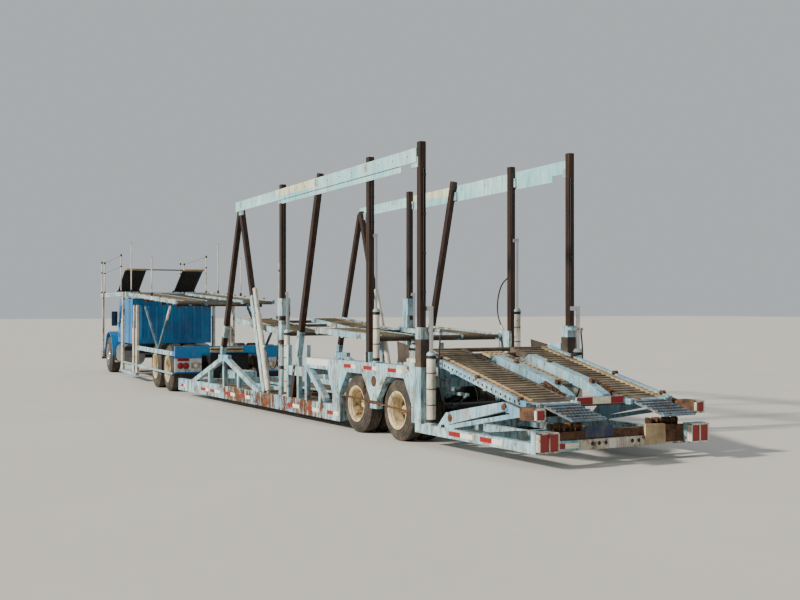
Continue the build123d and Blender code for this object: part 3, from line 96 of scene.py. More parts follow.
class Shape:
    """One visible piece of boxes, bars and turned forms, drawn for the left and repeated on its sides."""

    made = []

    def __init__(self, name, finish, body="trailer", slot=None, bevel=0.0, sides=BOTH, replaces=()):
        self.name, self.finish, self.body, self.bevel = name, finish, body, bevel
        self.slot = slot or SLOTS.get(finish, finish)
        self.sides, self.replaces = sides, replaces
        self.place = TRACTOR if body.startswith(TRACTOR_BODIES) else TRAILER
        self.points, self.faces, self.smooth = [], [], []
        Shape.made.append(self)

    def only(self, side=1):
        """The same piece, drawing on one side."""
        view = copy(self)
        view.sides = (side,)
        return view

    def add(self, points, faces, smooth=False):
        for side in self.sides:
            base = len(self.points)
            self.points += [self.place @ Vector((x, side * y, z)) for x, y, z in points]
            self.faces += [[base + i for i in face[::side]] for face in faces]
            self.smooth += [smooth] * len(faces)

    def hexa(self, corners):
        """Eight corners: four below, then the four above them, in the same order."""
        self.add(corners, [(3, 2, 1, 0), (4, 5, 6, 7), (0, 1, 5, 4), (1, 2, 6, 5), (2, 3, 7, 6), (3, 0, 4, 7)])

    def box(self, x, y, z):
        self.hexa([(x[i], y[j], level) for level in z for i, j in ((0, 0), (1, 0), (1, 1), (0, 1))])

    def bar(self, a, b, wide, deep, up=Z):
        """A straight bar from a to b; wide is across, deep is towards up."""
        a, b = Vector(a), Vector(b)
        axis = (b - a).normalized()
        side = axis.cross(Vector(up))
        if side.length < 1e-6:
            side = axis.cross(Vector(X))
        side = side.normalized() * wide / 2
        rise = side.cross(axis).normalized() * deep / 2
        self.hexa([a - side - rise, b - side - rise, b + side - rise, a + side - rise,
                   a - side + rise, b - side + rise, b + side + rise, a + side + rise])

    def ring(self, centre, axis, radius, sides):
        axis = Vector(axis).normalized()
        side = axis.cross(Vector(Z))
        side = side.normalized() if side.length > 1e-6 else Vector(X)
        other = axis.cross(side)
        angles = [tau * i / sides for i in range(sides)]
        return [Vector(centre) + (side * cos(angle) + other * sin(angle)) * radius for angle in angles]

    def rings(self, loops, closed=False, caps=False):
        """Joins like loops of points one after another; closed joins the last to the first."""
        n, count = len(loops[0]), len(loops)
        pairs = [(r * n, (r + 1) % count * n) for r in range(count if closed else count - 1)]
        faces = [(low + i, low + (i + 1) % n, high + (i + 1) % n, high + i) for low, high in pairs for i in range(n)]
        if caps:
            faces += [tuple(range(n - 1, -1, -1)), tuple(range((count - 1) * n, count * n))]
        self.add([point for loop in loops for point in loop], faces, True)

    def turned(self, centre, axis, profile, sides=24, closed=False):
        """Rings of (distance along the axis, radius) joined to a turned surface."""
        axis = Vector(axis).normalized()
        loops = [self.ring(Vector(centre) + axis * along, axis, max(radius, 1e-5), sides) for along, radius in profile]
        self.rings(loops, closed, not closed)

    def rod(self, a, b, radius, sides=12):
        a, b = Vector(a), Vector(b)
        self.turned(a, b - a, [(0, radius), ((b - a).length, radius)], sides)

    def button(self, centre, axis, radius, height, sides, edge=0.001, crown=0.0005):
        """A low disc for a bolt's head, or a dark disc of painted shade that stands for a hole."""
        self.turned(centre, axis, [(0, radius), (height - crown, radius - edge), (height, 0.0)], sides)

    def spool(self, centre, flange, neck, ends, sides=14):
        """A drum across the vehicle: one flange ends at ends[0], the other starts after ends[1]."""
        first, second, last = ends
        self.turned(centre, Y, [(0, flange), (first, flange), (first + 0.002, neck), (second, neck),
                                (second + 0.002, flange), (last, flange)], sides)

    def link(self, centre, axis, hole, outer, half):
        """A chain's link as a small ring."""
        self.turned(centre, axis, [(-half, hole), (half, hole), (half, outer), (-half, outer)], 10, closed=True)

    def piece(self):
        """Turns the collected faces into an object that rides on its body."""
        mesh = bpy.data.meshes.new(self.name)
        mesh.from_pydata([tuple(p) for p in self.points], [], self.faces)
        mesh.polygons.foreach_set("use_smooth", self.smooth)
        mesh.validate()
        mesh.update()
        obj = in_scene(self.name, mesh)
        mesh.materials.append(MATERIALS[self.finish])
        if any(self.smooth):
            mesh.set_sharp_from_angle(angle=SHARP_ANGLE)
        if self.bevel:
            modifier = obj.modifiers.new("edges", "BEVEL")
            modifier.width = self.bevel
            modifier.segments = 1
            modifier.limit_method = "ANGLE"
            modifier.angle_limit = BEVEL_ANGLE
        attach(obj, self.body)
        if self.replaces:
            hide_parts(*self.replaces)


# Materials

MATERIALS = {}


def srgb(colour):
    return tuple(((c / 255 + 0.055) / 1.055) ** 2.4 if c > 10 else c / 3294.6 for c in colour) + (1.0,)


class Nodes:
    """Short calls for a material's node tree, on trailer or tractor coordinates in metres."""

    def __init__(self, name, place=TRAILER):
        self.material = MATERIALS[name] = bpy.data.materials.new(name)
        self.material.use_nodes = True
        self.tree = self.material.node_tree
        self.shader = self.tree.nodes["Principled BSDF"]
        coordinates = self.new("ShaderNodeTexCoord").outputs["Object"]
        local = self.new("ShaderNodeMapping", {"Location": place.to_translation(), "Rotation": place.to_euler(),
                                               "Vector": coordinates}, vector_type="TEXTURE")
        self.place = local.outputs["Vector"]
        split = self.new("ShaderNodeSeparateXYZ", {0: self.place})
        self.axes = {"x": split.outputs["X"], "side": split.outputs["Y"], "z": split.outputs["Z"]}
        self.axes["y"] = self.maths("ABSOLUTE", split.outputs["Y"], 0.0)

    def new(self, kind, inputs=None, **values):
        """A node with its attributes set, and its inputs linked or set."""
        node = self.tree.nodes.new(kind)
        for key, value in values.items():
            setattr(node, key, value)
        for key, value in (inputs or {}).items():
            self.give(node.inputs[key], value)
        return node

    def give(self, socket, value):
        """Links a socket to another node's output, or sets its value."""
        if isinstance(value, bpy.types.NodeSocket):
            self.tree.links.new(value, socket)
        else:
            socket.default_value = value

    def noise(self, scale, detail=4.0, rough=0.6, stretch=(1, 1, 1)):
        mapping = self.new("ShaderNodeMapping", {"Scale": stretch, "Vector": self.place})
        return self.new("ShaderNodeTexNoise", {"Scale": scale, "Detail": detail, "Roughness": rough,
                                               "Vector": mapping.outputs["Vector"]}).outputs["Fac"]

    def ramp(self, value, stops):
        node = self.new("ShaderNodeValToRGB", {"Fac": value})
        elements = node.color_ramp.elements
        while len(elements) < len(stops):
            elements.new(0.5)
        for element, (at, colour) in zip(elements, stops):
            element.position = at
            element.color = srgb(colour)
        return node.outputs["Color"]

    def mask(self, value, low, high):
        """0 at low, 1 at high."""
        return self.new("ShaderNodeMapRange", {"From Min": low, "From Max": high, "Value": value}).outputs["Result"]

    def mix(self, factor, a, b):
        return self.new("ShaderNodeMix", {"Factor": factor, 6: a, 7: b}, data_type="RGBA").outputs[2]

    def maths(self, operation, a, b):
        return self.new("ShaderNodeMath", {0: a, 1: b}, operation=operation).outputs[0]

    def times(self, a, b):
        return self.maths("MULTIPLY", a, b)

    def plus(self, a, b):
        return self.maths("ADD", a, b)

    def inside(self, zone):
        """1 between the zone's limits on each axis that it names; y is the distance from the centre plane."""
        result = 1.0
        for axis, (low, high) in zone.items():
            value = self.axes[axis]
            both = self.times(self.maths("GREATER_THAN", value, low), self.maths("LESS_THAN", value, high))
            result = self.times(both, result)
        return result

    def finish(self, colour, rough, metallic=0.0, bump=None, strength=0.2, distance=0.01, coat=0.0):
        inputs = {"Base Color": colour, "Roughness": rough, "Metallic": metallic, "Coat Weight": coat}
        if bump is not None:
            node = self.new("ShaderNodeBump", {"Strength": strength, "Distance": distance, "Height": bump})
            inputs["Normal"] = node.outputs["Normal"]
        for key, value in inputs.items():
            self.give(self.shader.inputs[key], value)


RUST_DARK, RUST, RUST_BRIGHT = (40, 25, 17), (94, 54, 24), (158, 100, 42)
GRIME, DUST = (60, 55, 48), (160, 142, 110)

# Paints: bleached colour, main colour, rust threshold (lower is more rust), roughness, dirt
PAINTS = {
    "light_blue": ((190, 222, 226), (122, 180, 202), 0.6, 0.6, 0.85),
    "clean_blue": ((168, 208, 220), (104, 162, 192), 0.65, 0.55, 0.65),
    "top_rail": ((190, 228, 226), (134, 200, 210), 0.67, 0.6, 0.35),
    "flaked": ((236, 236, 206), (206, 212, 176), 0.66, 0.65, 0.4),
    "cream": ((230, 226, 212), (206, 200, 182), 0.66, 0.5, 0.5),
    "rim": ((232, 214, 172), (212, 188, 140), 0.63, 0.55, 0.7),
    "white": ((234, 234, 228), (204, 208, 204), 0.62, 0.55, 0.5),
    "mast": ((232, 226, 212), (196, 186, 168), 0.6, 0.6, 0.6),
    "bright_blue": ((30, 138, 194), (16, 100, 164), 0.88, 0.5, 0.14),
    # navy that stands for the shade under the end flaps, for the tail panel
    "navy_painted_shade": ((22, 52, 94), (12, 32, 64), 0.7, 0.5, 0.3),
    "flap": ((116, 146, 162), (76, 102, 122), 0.6, 0.6, 0.7),
}
# Bare steels: dark colour, light colour, stretch of the streaks, roughness
EVEN = (1, 1, 1)
STEELS = {
    "post": ((26, 20, 18), (82, 60, 48), (9, 9, 0.5), 0.45),
    "tread": ((58, 50, 44), (120, 106, 88), EVEN, 0.7),
    # steel blue for the masts' struts, blotched with a dark colour that is painted shade
    "strut": ((26, 36, 44), (98, 134, 150), (4, 4, 0.6), 0.6),
    "rib": ((106, 94, 76), (186, 168, 136), EVEN, 0.65),
    "grey_tread": ((84, 82, 80), (150, 144, 132), EVEN, 0.65),
    "tan": ((134, 110, 80), (200, 176, 136), EVEN, 0.75),
    "rusty": ((40, 28, 20), (122, 84, 54), (3.5, 3.5, 3.5), 0.85),
    "mesh": ((44, 36, 30), (88, 76, 64), EVEN, 0.8),
    "black": ((24, 24, 25), (52, 50, 49), EVEN, 0.6),
}


def paint_layer(n, key, band=None):
    """Sun-bleached paint with dust, dark streaks and rust; a band of x (low, high) is far more rusted."""
    pale, main, rust_at, rough, dirt = PAINTS[key]
    base = n.mix(n.mask(n.noise(1.3, 5, 0.65), 0.35, 0.65), srgb(pale), srgb(main))
    streak = n.noise(2.2, 6, 0.7, (9, 9, 1))
    dusty = n.noise(5.2, 8, 0.75, (1, 1, 0.6))
    base = n.mix(n.times(n.mask(dusty, 0.47, 0.66), dirt), base, srgb(DUST))
    base = n.mix(n.times(n.mask(streak, 0.46, 0.66), dirt), base, srgb(GRIME))
    speck = n.noise(17.0, 6, 0.7)
    amount = n.plus(n.noise(3.1, 9, 0.72), n.times(n.maths("SUBTRACT", speck, 0.5), 0.35))
    if band:
        x, (low, high) = n.axes["x"], band
        rise = n.times(n.mask(x, low - 0.3, low + 0.4), n.mask(x, high + 1.5, high))
        drips = n.times(n.mask(n.noise(1.5, 7, 0.75, (9, 9, 0.6)), 0.38, 0.62), 0.3)
        amount = n.plus(amount, n.times(rise, drips))
    rusty = n.mask(amount, rust_at - 0.06, rust_at + 0.06)
    rust = n.ramp(n.noise(9.0, 7, 0.75), [(0.3, RUST_DARK), (0.52, RUST), (0.75, RUST_BRIGHT)])
    return n.mix(rusty, base, rust), n.plus(n.times(rusty, 0.3), rough), amount


def steel_layer(n, key):
    """Bare or greased steel, blotched and dusty, with a little rust."""
    dark, light, stretch, rough = STEELS[key]
    grit = n.noise(28.0, 4, 0.7)
    colour = n.mix(n.mask(n.noise(2.8, 7, 0.7, stretch), 0.35, 0.68), srgb(dark), srgb(light))
    colour = n.mix(n.mask(grit, 0.58, 0.85), colour, srgb(RUST))
    return colour, n.plus(n.times(grit, 0.2), rough - 0.1), grit


def surface(name, base, *zones, place=TRAILER, metallic=0.0, band=None, strength=0.25):
    """A base finish, with other finishes inside zones, each given by its limits and then its key."""
    n = Nodes(name, place)
    layers = []
    for key in [base] + [key for _, key in zones]:
        layers.append(paint_layer(n, key, band if key == base else None) if key in PAINTS else steel_layer(n, key))
    colour, rough, bump = layers[0]
    for (limits, _), (zone_colour, zone_rough, _) in zip(zones, layers[1:]):
        here = n.inside(limits)
        colour = n.mix(here, colour, zone_colour)
        rough = n.plus(n.times(here, n.maths("SUBTRACT", zone_rough, rough)), rough)
    n.finish(colour, rough, metallic, bump, strength, 0.004)


def plain(name, colour, rough, metallic=0.0, vary=0.25, scale=6.0, coat=0.0, bump=0.1):
    """An even surface with slight dirt, for metal, rubber and plastic."""
    n = Nodes(name)
    dirt = n.noise(scale, 6, 0.65)
    low, high = (tuple(min(1, c * (1 + change)) for c in srgb(colour)[:3]) + (1,) for change in (-vary, vary))
    shine = n.mask(dirt, -1.0 + rough, 1.0 + rough) if vary > 0.3 else rough
    n.finish(n.mix(n.mask(dirt, 0.3, 0.7), low, high), shine, metallic, n.noise(scale * 8, 3), bump, 0.001, coat)


def glass():
    n = Nodes("glass")
    n.give(n.shader.inputs["Transmission Weight"], 0.85)
    n.give(n.shader.inputs["IOR"], 1.45)
    dust = n.mask(n.noise(3.0, 5, 0.6), 0.4, 0.8)
    n.finish(n.mix(dust, srgb((120, 140, 145)), srgb((150, 165, 165))), 0.06)


def tyre_rubber():
    """Grey-brown rubber, dusty on the sides."""
    n = Nodes("tyre_rubber")
    dust = n.noise(5.0, 6, 0.7)
    colour = n.ramp(dust, [(0.3, (34, 31, 29)), (0.5, (58, 52, 45)), (0.75, (108, 94, 74))])
    n.finish(colour, n.mask(dust, -1.2, 1.0), 0.0, n.noise(60.0, 3), 0.2, 0.001)


PAINT_RAILS = {"y": (1.069, 1.2)}
INNER_RAILS = {"y": (0.385, 0.431)}
POLES = {"z": (2.4, 4.0)}
for finish, base, metallic in (
        ("rack_paint", "light_blue", 0.0), ("clean_paint", "clean_blue", 0.0), ("post_steel", "post", 0.5),
        ("tread_ribs", "rib", 0.3), ("tan_steel", "tan", 0.0), ("flap_paint", "flap", 0.0),
        ("cylinder_paint", "cream", 0.0), ("rim_cream", "rim", 0.0), ("rust_iron", "rusty", 0.2),
        # The dark iron finish also colours the dark discs and bars that stand for holes and grooves as painted shade.
        ("dark_iron_and_recess_shade", "black", 0.3), ("navy_painted_shade", "navy_painted_shade", 0.0)):
    surface(finish, base, metallic=metallic)
surface("rail_paint", "light_blue", band=(5.7, 9.6))
surface("top_rail_paint", "top_rail", ({"x": (5.95, 7.6), "z": (3.74, 3.9)}, "flaked"))
surface("deck_steel", "tread", (PAINT_RAILS, "light_blue"), (INNER_RAILS, "light_blue"), metallic=0.2)
surface("rear_deck_steel", "tread", (PAINT_RAILS, "clean_blue"), ({"y": (0.2, 0.34), "x": (0.6, 2.5)}, "clean_blue"),
        ({"y": WALK}, "tan"), ({"y": (-0.1, 0.175), "x": (1.39, 2.95)}, "tan"), ({"x": (-0.2, 0.53)}, "light_blue"),
        metallic=0.2)
surface("tractor_deck_steel", "grey_tread", (PAINT_RAILS, "light_blue"), (INNER_RAILS, "light_blue"), (POLES, "cream"),
        place=TRACTOR, metallic=0.2)
surface("rear_paint", "light_blue", ({"x": (0.0, 0.252), "side": (-1.0, 0.58), "z": (0.0, 0.3)}, "mast"),
        ({"x": (0.17, 0.31), "z": (0.301, 0.41)}, "rusty"))
surface("arm_paint", "clean_blue", ({"x": (0.0, 0.42)}, "rusty"))
surface("sleeve_paint", "light_blue", ({"x": (3.112, 3.56)}, "mesh"), ({"x": (2.6, 2.81), "z": (1.05, 1.42)}, "mesh"))
surface("tractor_paint", "bright_blue", place=TRACTOR, strength=0.1)
# The masts' struts are steel blue blotched with dark painted shade.
surface("mast_paint", "mast", ({"x": (0.9, 3.4), "z": (0.9, 2.2)}, "strut"), place=TRACTOR)
surface("body_paint", "bright_blue", ({"z": (0.47, 0.75), "x": (0.0, 0.065)}, "white"), place=TRACTOR, strength=0.1)
surface("door_paint", "bright_blue", ({"y": (1.105, 1.3)}, "black"), place=TRACTOR, strength=0.1)
surface("marker_paint", "clean_blue", place=TRACTOR)
surface("head_paint", "light_blue", ({"y": (0.4, 1.01)}, "grey_tread"), ({"z": (2.3, 4.0)}, "cream"), place=TRACTOR)
surface("ramp_iron", "black", ({"z": (2.835, 3.2), "y": (0.49, 1.1)}, "tan"), place=TRACTOR, metallic=0.3)
# Colour, roughness, metallic, variation, then scale, coat and bump where they aren't the usual ones
for finish, *values in (
        ("rod_chrome", (190, 192, 194), 0.18, 1.0, 0.1), ("axle_black", (44, 41, 39), 0.7, 0.2, 0.4),
        ("lamp_red", (136, 2, 6), 0.35, 0.0, 0.3, 12.0, 0.2),
        ("lamp_amber", (206, 122, 34), 0.25, 0.0, 0.15, 20.0, 0.4),
        ("frame_black", (46, 45, 46), 0.6, 0.3, 0.35), ("flap_rubber", (32, 30, 30), 0.75, 0.0, 0.3),
        # The hose rubber also colours a dark line of painted shade under the top rail.
        ("hose_rubber", (30, 28, 28), 0.45, 0.0, 0.2), ("bright_metal", (196, 198, 200), 0.22, 1.0, 0.12),
        ("mirror_silver", (84, 90, 96), 0.15, 1.0, 0.1), ("lamp_clear", (214, 218, 220), 0.12, 0.0, 0.05, 10.0, 0.5),
        ("tank_aluminium", (170, 172, 175), 0.32, 1.0, 0.15), ("trim_plastic", (52, 52, 56), 0.7, 0.0, 0.2),
        ("engine_iron", (92, 94, 96), 0.6, 0.5, 0.3), ("plate_white", (226, 226, 220), 0.5, 0.0, 0.12),
        ("tape_red", (144, 2, 8), 0.5, 0.0, 0.3, 14.0), ("tape_white", (232, 226, 198), 0.5, 0.0, 0.25, 14.0),
        ("floor_pale", (204, 200, 192), 0.9, 0.0, 0.03, 0.3, 0.0, 0.02)):
    plain(finish, *values)
tyre_rubber()
glass()

# Nodes whose finish is more than their record slot's
NODE_FINISH = {
    "lower_frame": "rail_paint", "rear_frame": "rear_paint", "support_arms": "arm_paint", "top_rails": "top_rail_paint",
    "post_sleeves": "sleeve_paint", "rear_deck": "rear_deck_steel", "tractor_deck": "tractor_deck_steel",
    "end_flap_left": "flap_paint", "end_flap_right": "flap_paint", "side_masts": "mast_paint",
    "side_rails": "marker_paint", "rear_body": "body_paint", "door_left": "door_paint", "door_right": "door_paint",
    "head_rack": "head_paint", "head_ramps": "ramp_iron",
}

for item in frame["record"]["subparts"]:
    materials = frame["nodes"][item["node"]].data.materials
    materials.clear()
    materials.append(MATERIALS[NODE_FINISH.get(item["node"], item["material_slot"])])


# Camera, light and floor

CAMERA = (-10.56, 8.92, 1.85)
CAMERA_TURN = radians(29.0)
CAMERA_PITCH = radians(0.35)
FOCAL_PIXELS, PHOTO_WIDTH = 1150.0, 800.0
SENSOR_WIDTH = 36.0
SUN_TRAVEL = (-0.1, -1.0, -0.52)
FLOOR_REACH = 160.0


def stage():
    camera = bpy.data.cameras.new("camera")
    camera.sensor_width = SENSOR_WIDTH
    camera.lens = FOCAL_PIXELS / PHOTO_WIDTH * SENSOR_WIDTH
    camera.clip_end = 500.0
    eye = in_scene("camera", camera)
    level = cos(CAMERA_PITCH)
    look = Vector((cos(CAMERA_TURN) * level, -sin(CAMERA_TURN) * level, sin(CAMERA_PITCH)))
    eye.location = TRAILER @ Vector(CAMERA)
    eye.rotation_euler = look.to_track_quat("-Z", "Y").to_euler()
    bpy.context.scene.camera = eye

    ground = bpy.data.meshes.new("floor")
    corners = [(x * FLOOR_REACH, y * FLOOR_REACH, 0) for x, y in ((-1, -1), (1, -1), (1, 1), (-1, 1))]
    ground.from_pydata(corners, [], [(0, 1, 2, 3)])
    floor = in_scene("floor", ground)
    ground.materials.append(MATERIALS["floor_pale"])

    world = bpy.data.worlds.new("studio")
    bpy.context.scene.world = world
    world.use_nodes = True
    sky = world.node_tree.nodes["Background"].inputs
    sky["Color"].default_value = srgb((220, 226, 230))
    sky["Strength"].default_value = 0.68

    sun = bpy.data.lights.new("sun", "SUN")
    sun.energy = 5.2
    sun.angle = radians(4.0)
    sun.color = (1.0, 0.94, 0.84)
    in_scene("sun", sun).rotation_euler = Vector(SUN_TRAVEL).to_track_quat("-Z", "Y").to_euler()


stage()

# Hydraulic hoses, from fitting to fitting; the lift hoses are drawn for the left side
LIFT_HOSE = ((2.36, 1.155, 1.485), (2.35, 1.18, 1.24), (2.366, 1.175, 0.99), (2.362, 1.15, 0.77),
             (2.372, 1.09, 0.565), (2.38, 0.905, 0.505), (2.388, 0.77, 0.64))
POST_HOSE = ((4.29, -1.2325, 2.3), (4.43, -1.225, 2.24), (4.515, -1.208, 2.05),
             (4.53, -1.192, 1.85), (4.48, -1.18, 1.67), (4.375, -1.165, 1.56))
RACK_HOSE = ((7.515, 1.162, 1.64), (7.65, 1.166, 1.605), (7.725, 1.172, 1.44), (7.712, 1.18, 1.215),
             (7.725, 1.188, 1.000), (7.79, 1.196, 0.81), (7.96, 1.204, 0.76), (8.09, 1.211, 0.88),
             (8.105, 1.217, 1.06), (8.23, 1.221, 1.14))


def hose(node, route):
    """One smooth hose along its route, in metres, in place of its node."""
    curve = bpy.data.curves.new(f"{node}_line", "CURVE")
    curve.dimensions = "3D"
    curve.bevel_depth = HOSE / 2
    curve.bevel_resolution = 3
    curve.resolution_u = 12
    spline = curve.splines.new("NURBS")
    spline.points.add(len(route) - 1)
    for point, place in zip(spline.points, route):
        point.co = (*(TRAILER @ Vector(place)), 1.0)
    spline.order_u = 3
    spline.use_endpoint_u = True
    curve.materials.append(MATERIALS["hose_rubber"])
    line = in_scene(f"{node}_line", curve)
    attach(line, "trailer")
    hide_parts(node)


for side_name, side in SIDES:
    hose(f"lift_hose_{side_name}", [(x, side * y, z) for x, y, z in LIFT_HOSE])
hose("post_hose", POST_HOSE)
hose("rack_hose", RACK_HOSE)


# Wheels

TWIN_GAP = 0.045
RIM_THICK = 0.014
RIB_TO_GROOVE = 2.6
TREAD_SIDES = 72
TREAD_GROOVES = 4
HAND_HOLES = 10
STUDS, STUD_CIRCLE = 10, 0.143


def tyre(shape, centre, face, width, radius, rim):
    """A tyre whose outer face is at distance face from the centre plane; grooves run round the tread."""
    bead, wall, back = rim - 0.004, radius - rim, face - width
    profile = [(face - 0.004, bead), (face - 0.002, rim + 0.012), (face - 0.006, rim + 0.016),
               (face - 0.001, rim + 0.035), (face - 0.001, rim + wall * 0.42), (face - 0.006, rim + wall * 0.44),
               (face - 0.006, rim + wall * 0.48), (face - 0.001, rim + wall * 0.5), (face - 0.003, rim + wall * 0.66),
               (face - 0.012, rim + wall * 0.7), (face - 0.016, radius - 0.03), (face - 0.036, radius - 0.006)]
    y = face - 0.04
    groove = (y - back - 0.04) / (TREAD_GROOVES + (TREAD_GROOVES + 1) * RIB_TO_GROOVE)
    for number in range(TREAD_GROOVES + 1):
        profile += [(y, radius), (y - groove * RIB_TO_GROOVE, radius)]
        y -= groove * RIB_TO_GROOVE
        if number < TREAD_GROOVES:
            profile += [(y - groove * 0.1, radius - 0.014), (y - groove * 0.9, radius - 0.014)]
            y -= groove
    profile += [(back + 0.036, radius - 0.006), (back + 0.016, radius - 0.03), (back + 0.002, rim + wall * 0.55),
                (back, rim + 0.035), (back + 0.004, bead)]
    shape.turned(centre, Y, profile, TREAD_SIDES, closed=True)


def barrel(shape, centre, face, width, rim):
    """Rim barrel with both flanges."""
    back = face - width
    outer = [(face + 0.003, rim + 0.012), (face - 0.004, rim - 0.002), (face - 0.012, rim - 0.004),
             (face - 0.016, rim - 0.016), (face - 0.034, rim - 0.018), (face - 0.04, rim - 0.028),
             (face - 0.075, rim - 0.035), (back + 0.06, rim - 0.035), (back + 0.04, rim - 0.012), (back, rim + 0.012)]
    inner = [(along, radius - RIM_THICK) for along, radius in reversed(outer)]
    shape.turned(centre, Y, outer + inner, 48, closed=True)


def disc(shape, centre, start, out, rim):
    """The dished disc of a rim from distance start, with its hand holes."""
    x, _, z = centre
    sides = HAND_HOLES * 4
    steps = [(0.0, 1.0), (out, 0.82), (out * 1.4, 0.6), (out * 1.4, 0.32)]
    points = []
    for along, part in steps:
        points += shape.ring((x, start + along, z), Y, (rim - 0.036) * part, sides)
    faces = [(r * sides + i, r * sides + (i + 1) % sides, (r + 1) * sides + (i + 1) % sides, (r + 1) * sides + i)
             for r in range(len(steps) - 1) for i in range(sides) if r or i % 4 in (0, 3)]
    shape.add(points, faces, True)


def hub(shape, centre, start, end, radius):
    x, _, z = centre
    shape.turned(centre, Y, [(start, radius * 1.1), (start + 0.02, radius * 1.1), (start + 0.025, radius * 0.85),
                             (end - 0.03, radius * 0.72), (end, radius * 0.55), (end + 0.002, 0.0)])
    for point in shape.ring((x, start, z), Y, STUD_CIRCLE, STUDS):
        shape.turned(point, Y, [(-0.01, 0.017), (0.03, 0.017), (0.034, 0.008), (0.05, 0.008)], 6)


def wheels():
    """Tyres and rims of every wheel, each in place of its node."""
    # Twin wheels: tyre radius, rim radius, tyre width, outer face and the hub's end
    trailer, drive = (0.425, 0.255, 0.25, 1.25, 1.14), (0.5, 0.286, 0.27, 1.22, 1.16)
    for name, x, (radius, rim, width, face, hub_end) in (
            ("trailer_rear_wheels", 3.36, trailer), ("trailer_front_wheels", 4.605, trailer),
            ("drive_rear_wheels", 1.0, drive), ("drive_front_wheels", 2.32, drive)):
        for side_name, side in SIDES:
            node, centre = f"{name}_{side_name}", (x, 0, radius)
            rubber = Shape(f"{node}_tyres", "tyre_rubber", node, sides=(side,), replaces=(node,))
            metal = Shape(f"{node}_rims", "rim_cream", node, sides=(side,))
            middle = face - width - TWIN_GAP / 2
            for twin_face in (face, face - width - TWIN_GAP):
                tyre(rubber, centre, twin_face, width, radius, rim)
                barrel(metal, centre, twin_face, width, rim)
            disc(metal, centre, middle + 0.012, 0.012, rim)
            hub(metal, centre, middle + 0.03, hub_end, 0.105)
    for side_name, side in SIDES:
        node, centre = f"steer_wheel_{side_name}", (9.05, 0, 0.5)
        rubber = Shape(f"{node}_tyre", "tyre_rubber", node, sides=(side,), replaces=(node,))
        metal = Shape(f"{node}_rim", "bright_metal", node, sides=(side,))
        tyre(rubber, centre, 1.18, 0.29, 0.5, 0.286)
        barrel(metal, centre, 1.18, 0.29, 0.286)
        disc(metal, centre, 1.08, 0.03, 0.286)
        hub(metal, centre, 1.12, 1.185, 0.1)


wheels()


# Trailer

# Deck surfaces as two points in x and z (u and z on the tractor)
REAR_LINE = ((3.05, 1.25), (0.48, 0.685))
MIDDLE_LINE = ((4.33, 1.4), (6.33, 1.48))
FRONT_LINE = ((7.56, 1.4), (9.9, 1.61))
FLAP_LINE = ((0.43, 0.69), (-0.15, 0.56))
TRACTOR_LINE = ((6.35, 2.19), (0.65, 1.96))
CYLINDER_Y = 1.225


def on(line, x, y, lift=0.0):
    """The point at x and y that stands lift above a line."""
    (x0, z0), (x1, z1) = line
    return x, y, z0 + (z1 - z0) * (x - x0) / (x1 - x0) + lift


def tapes():
    """Reflective tape in red and white lengths on the beams, rails and bumper."""
    red, white = Shape("trailer_tape_red", "tape_red"), Shape("trailer_tape_white", "tape_white")
    # z limits, then x where the red starts, where it meets the white, and where the white ends
    rows = (((0.945, 1.0), ((4.95, 4.71, 4.56), (4.31, 4.04, 3.91), (3.57, 3.32, 3.15))),
            ((0.2, 0.26), ((12.62, 12.45, 12.35), (11.39, 11.11, 10.95), (10.84, 10.6, 10.3), (10.06, 9.73, 9.5),
                            (9.25, 8.98, 8.75), (7.08, 6.85, 6.6), (6.3, 6.09, 5.85), (5.54, 5.32, 5.14))),
            ((0.215, 0.275), ((1.94, 1.66, 1.38), (1.21, 0.95, 0.74))))
    for z, lengths in rows:
        for start, meet, end in lengths:
            red.box((meet, start), BEAM_FACE, z)
            white.box((end, meet), BEAM_FACE, z)
    bumper_x, bumper_z = (0.15 - SKIN, 0.16), (0.21, 0.27)
    red.box(bumper_x, (0.8, 0.99), bumper_z)
    white.box(bumper_x, (0.6, 0.8), bumper_z)
    red = Shape("deck_tape_red", "tape_red", "rear_deck", sides=ONE)
    white = Shape("deck_tape_white", "tape_white", "rear_deck", sides=ONE)
    deck_x, deck_z = (0.5 - SKIN, 0.51), (0.675, 0.757)
    red.box(deck_x, (0.12, 0.358), deck_z)
    white.box(deck_x, (-0.16, 0.12), deck_z)
    red.box(deck_x, (-0.358, -0.16), deck_z)


def lamp_frame(shape, x, uprights, levels):
    """Bars round lamps: uprights by their y limits, level ones by their z limits, both from the lowest."""
    for y in uprights:
        shape.box(x, y, (levels[0][0], levels[-1][1]))
    for z in levels:
        shape.box(x, (uprights[0][0], uprights[-1][1]), z)


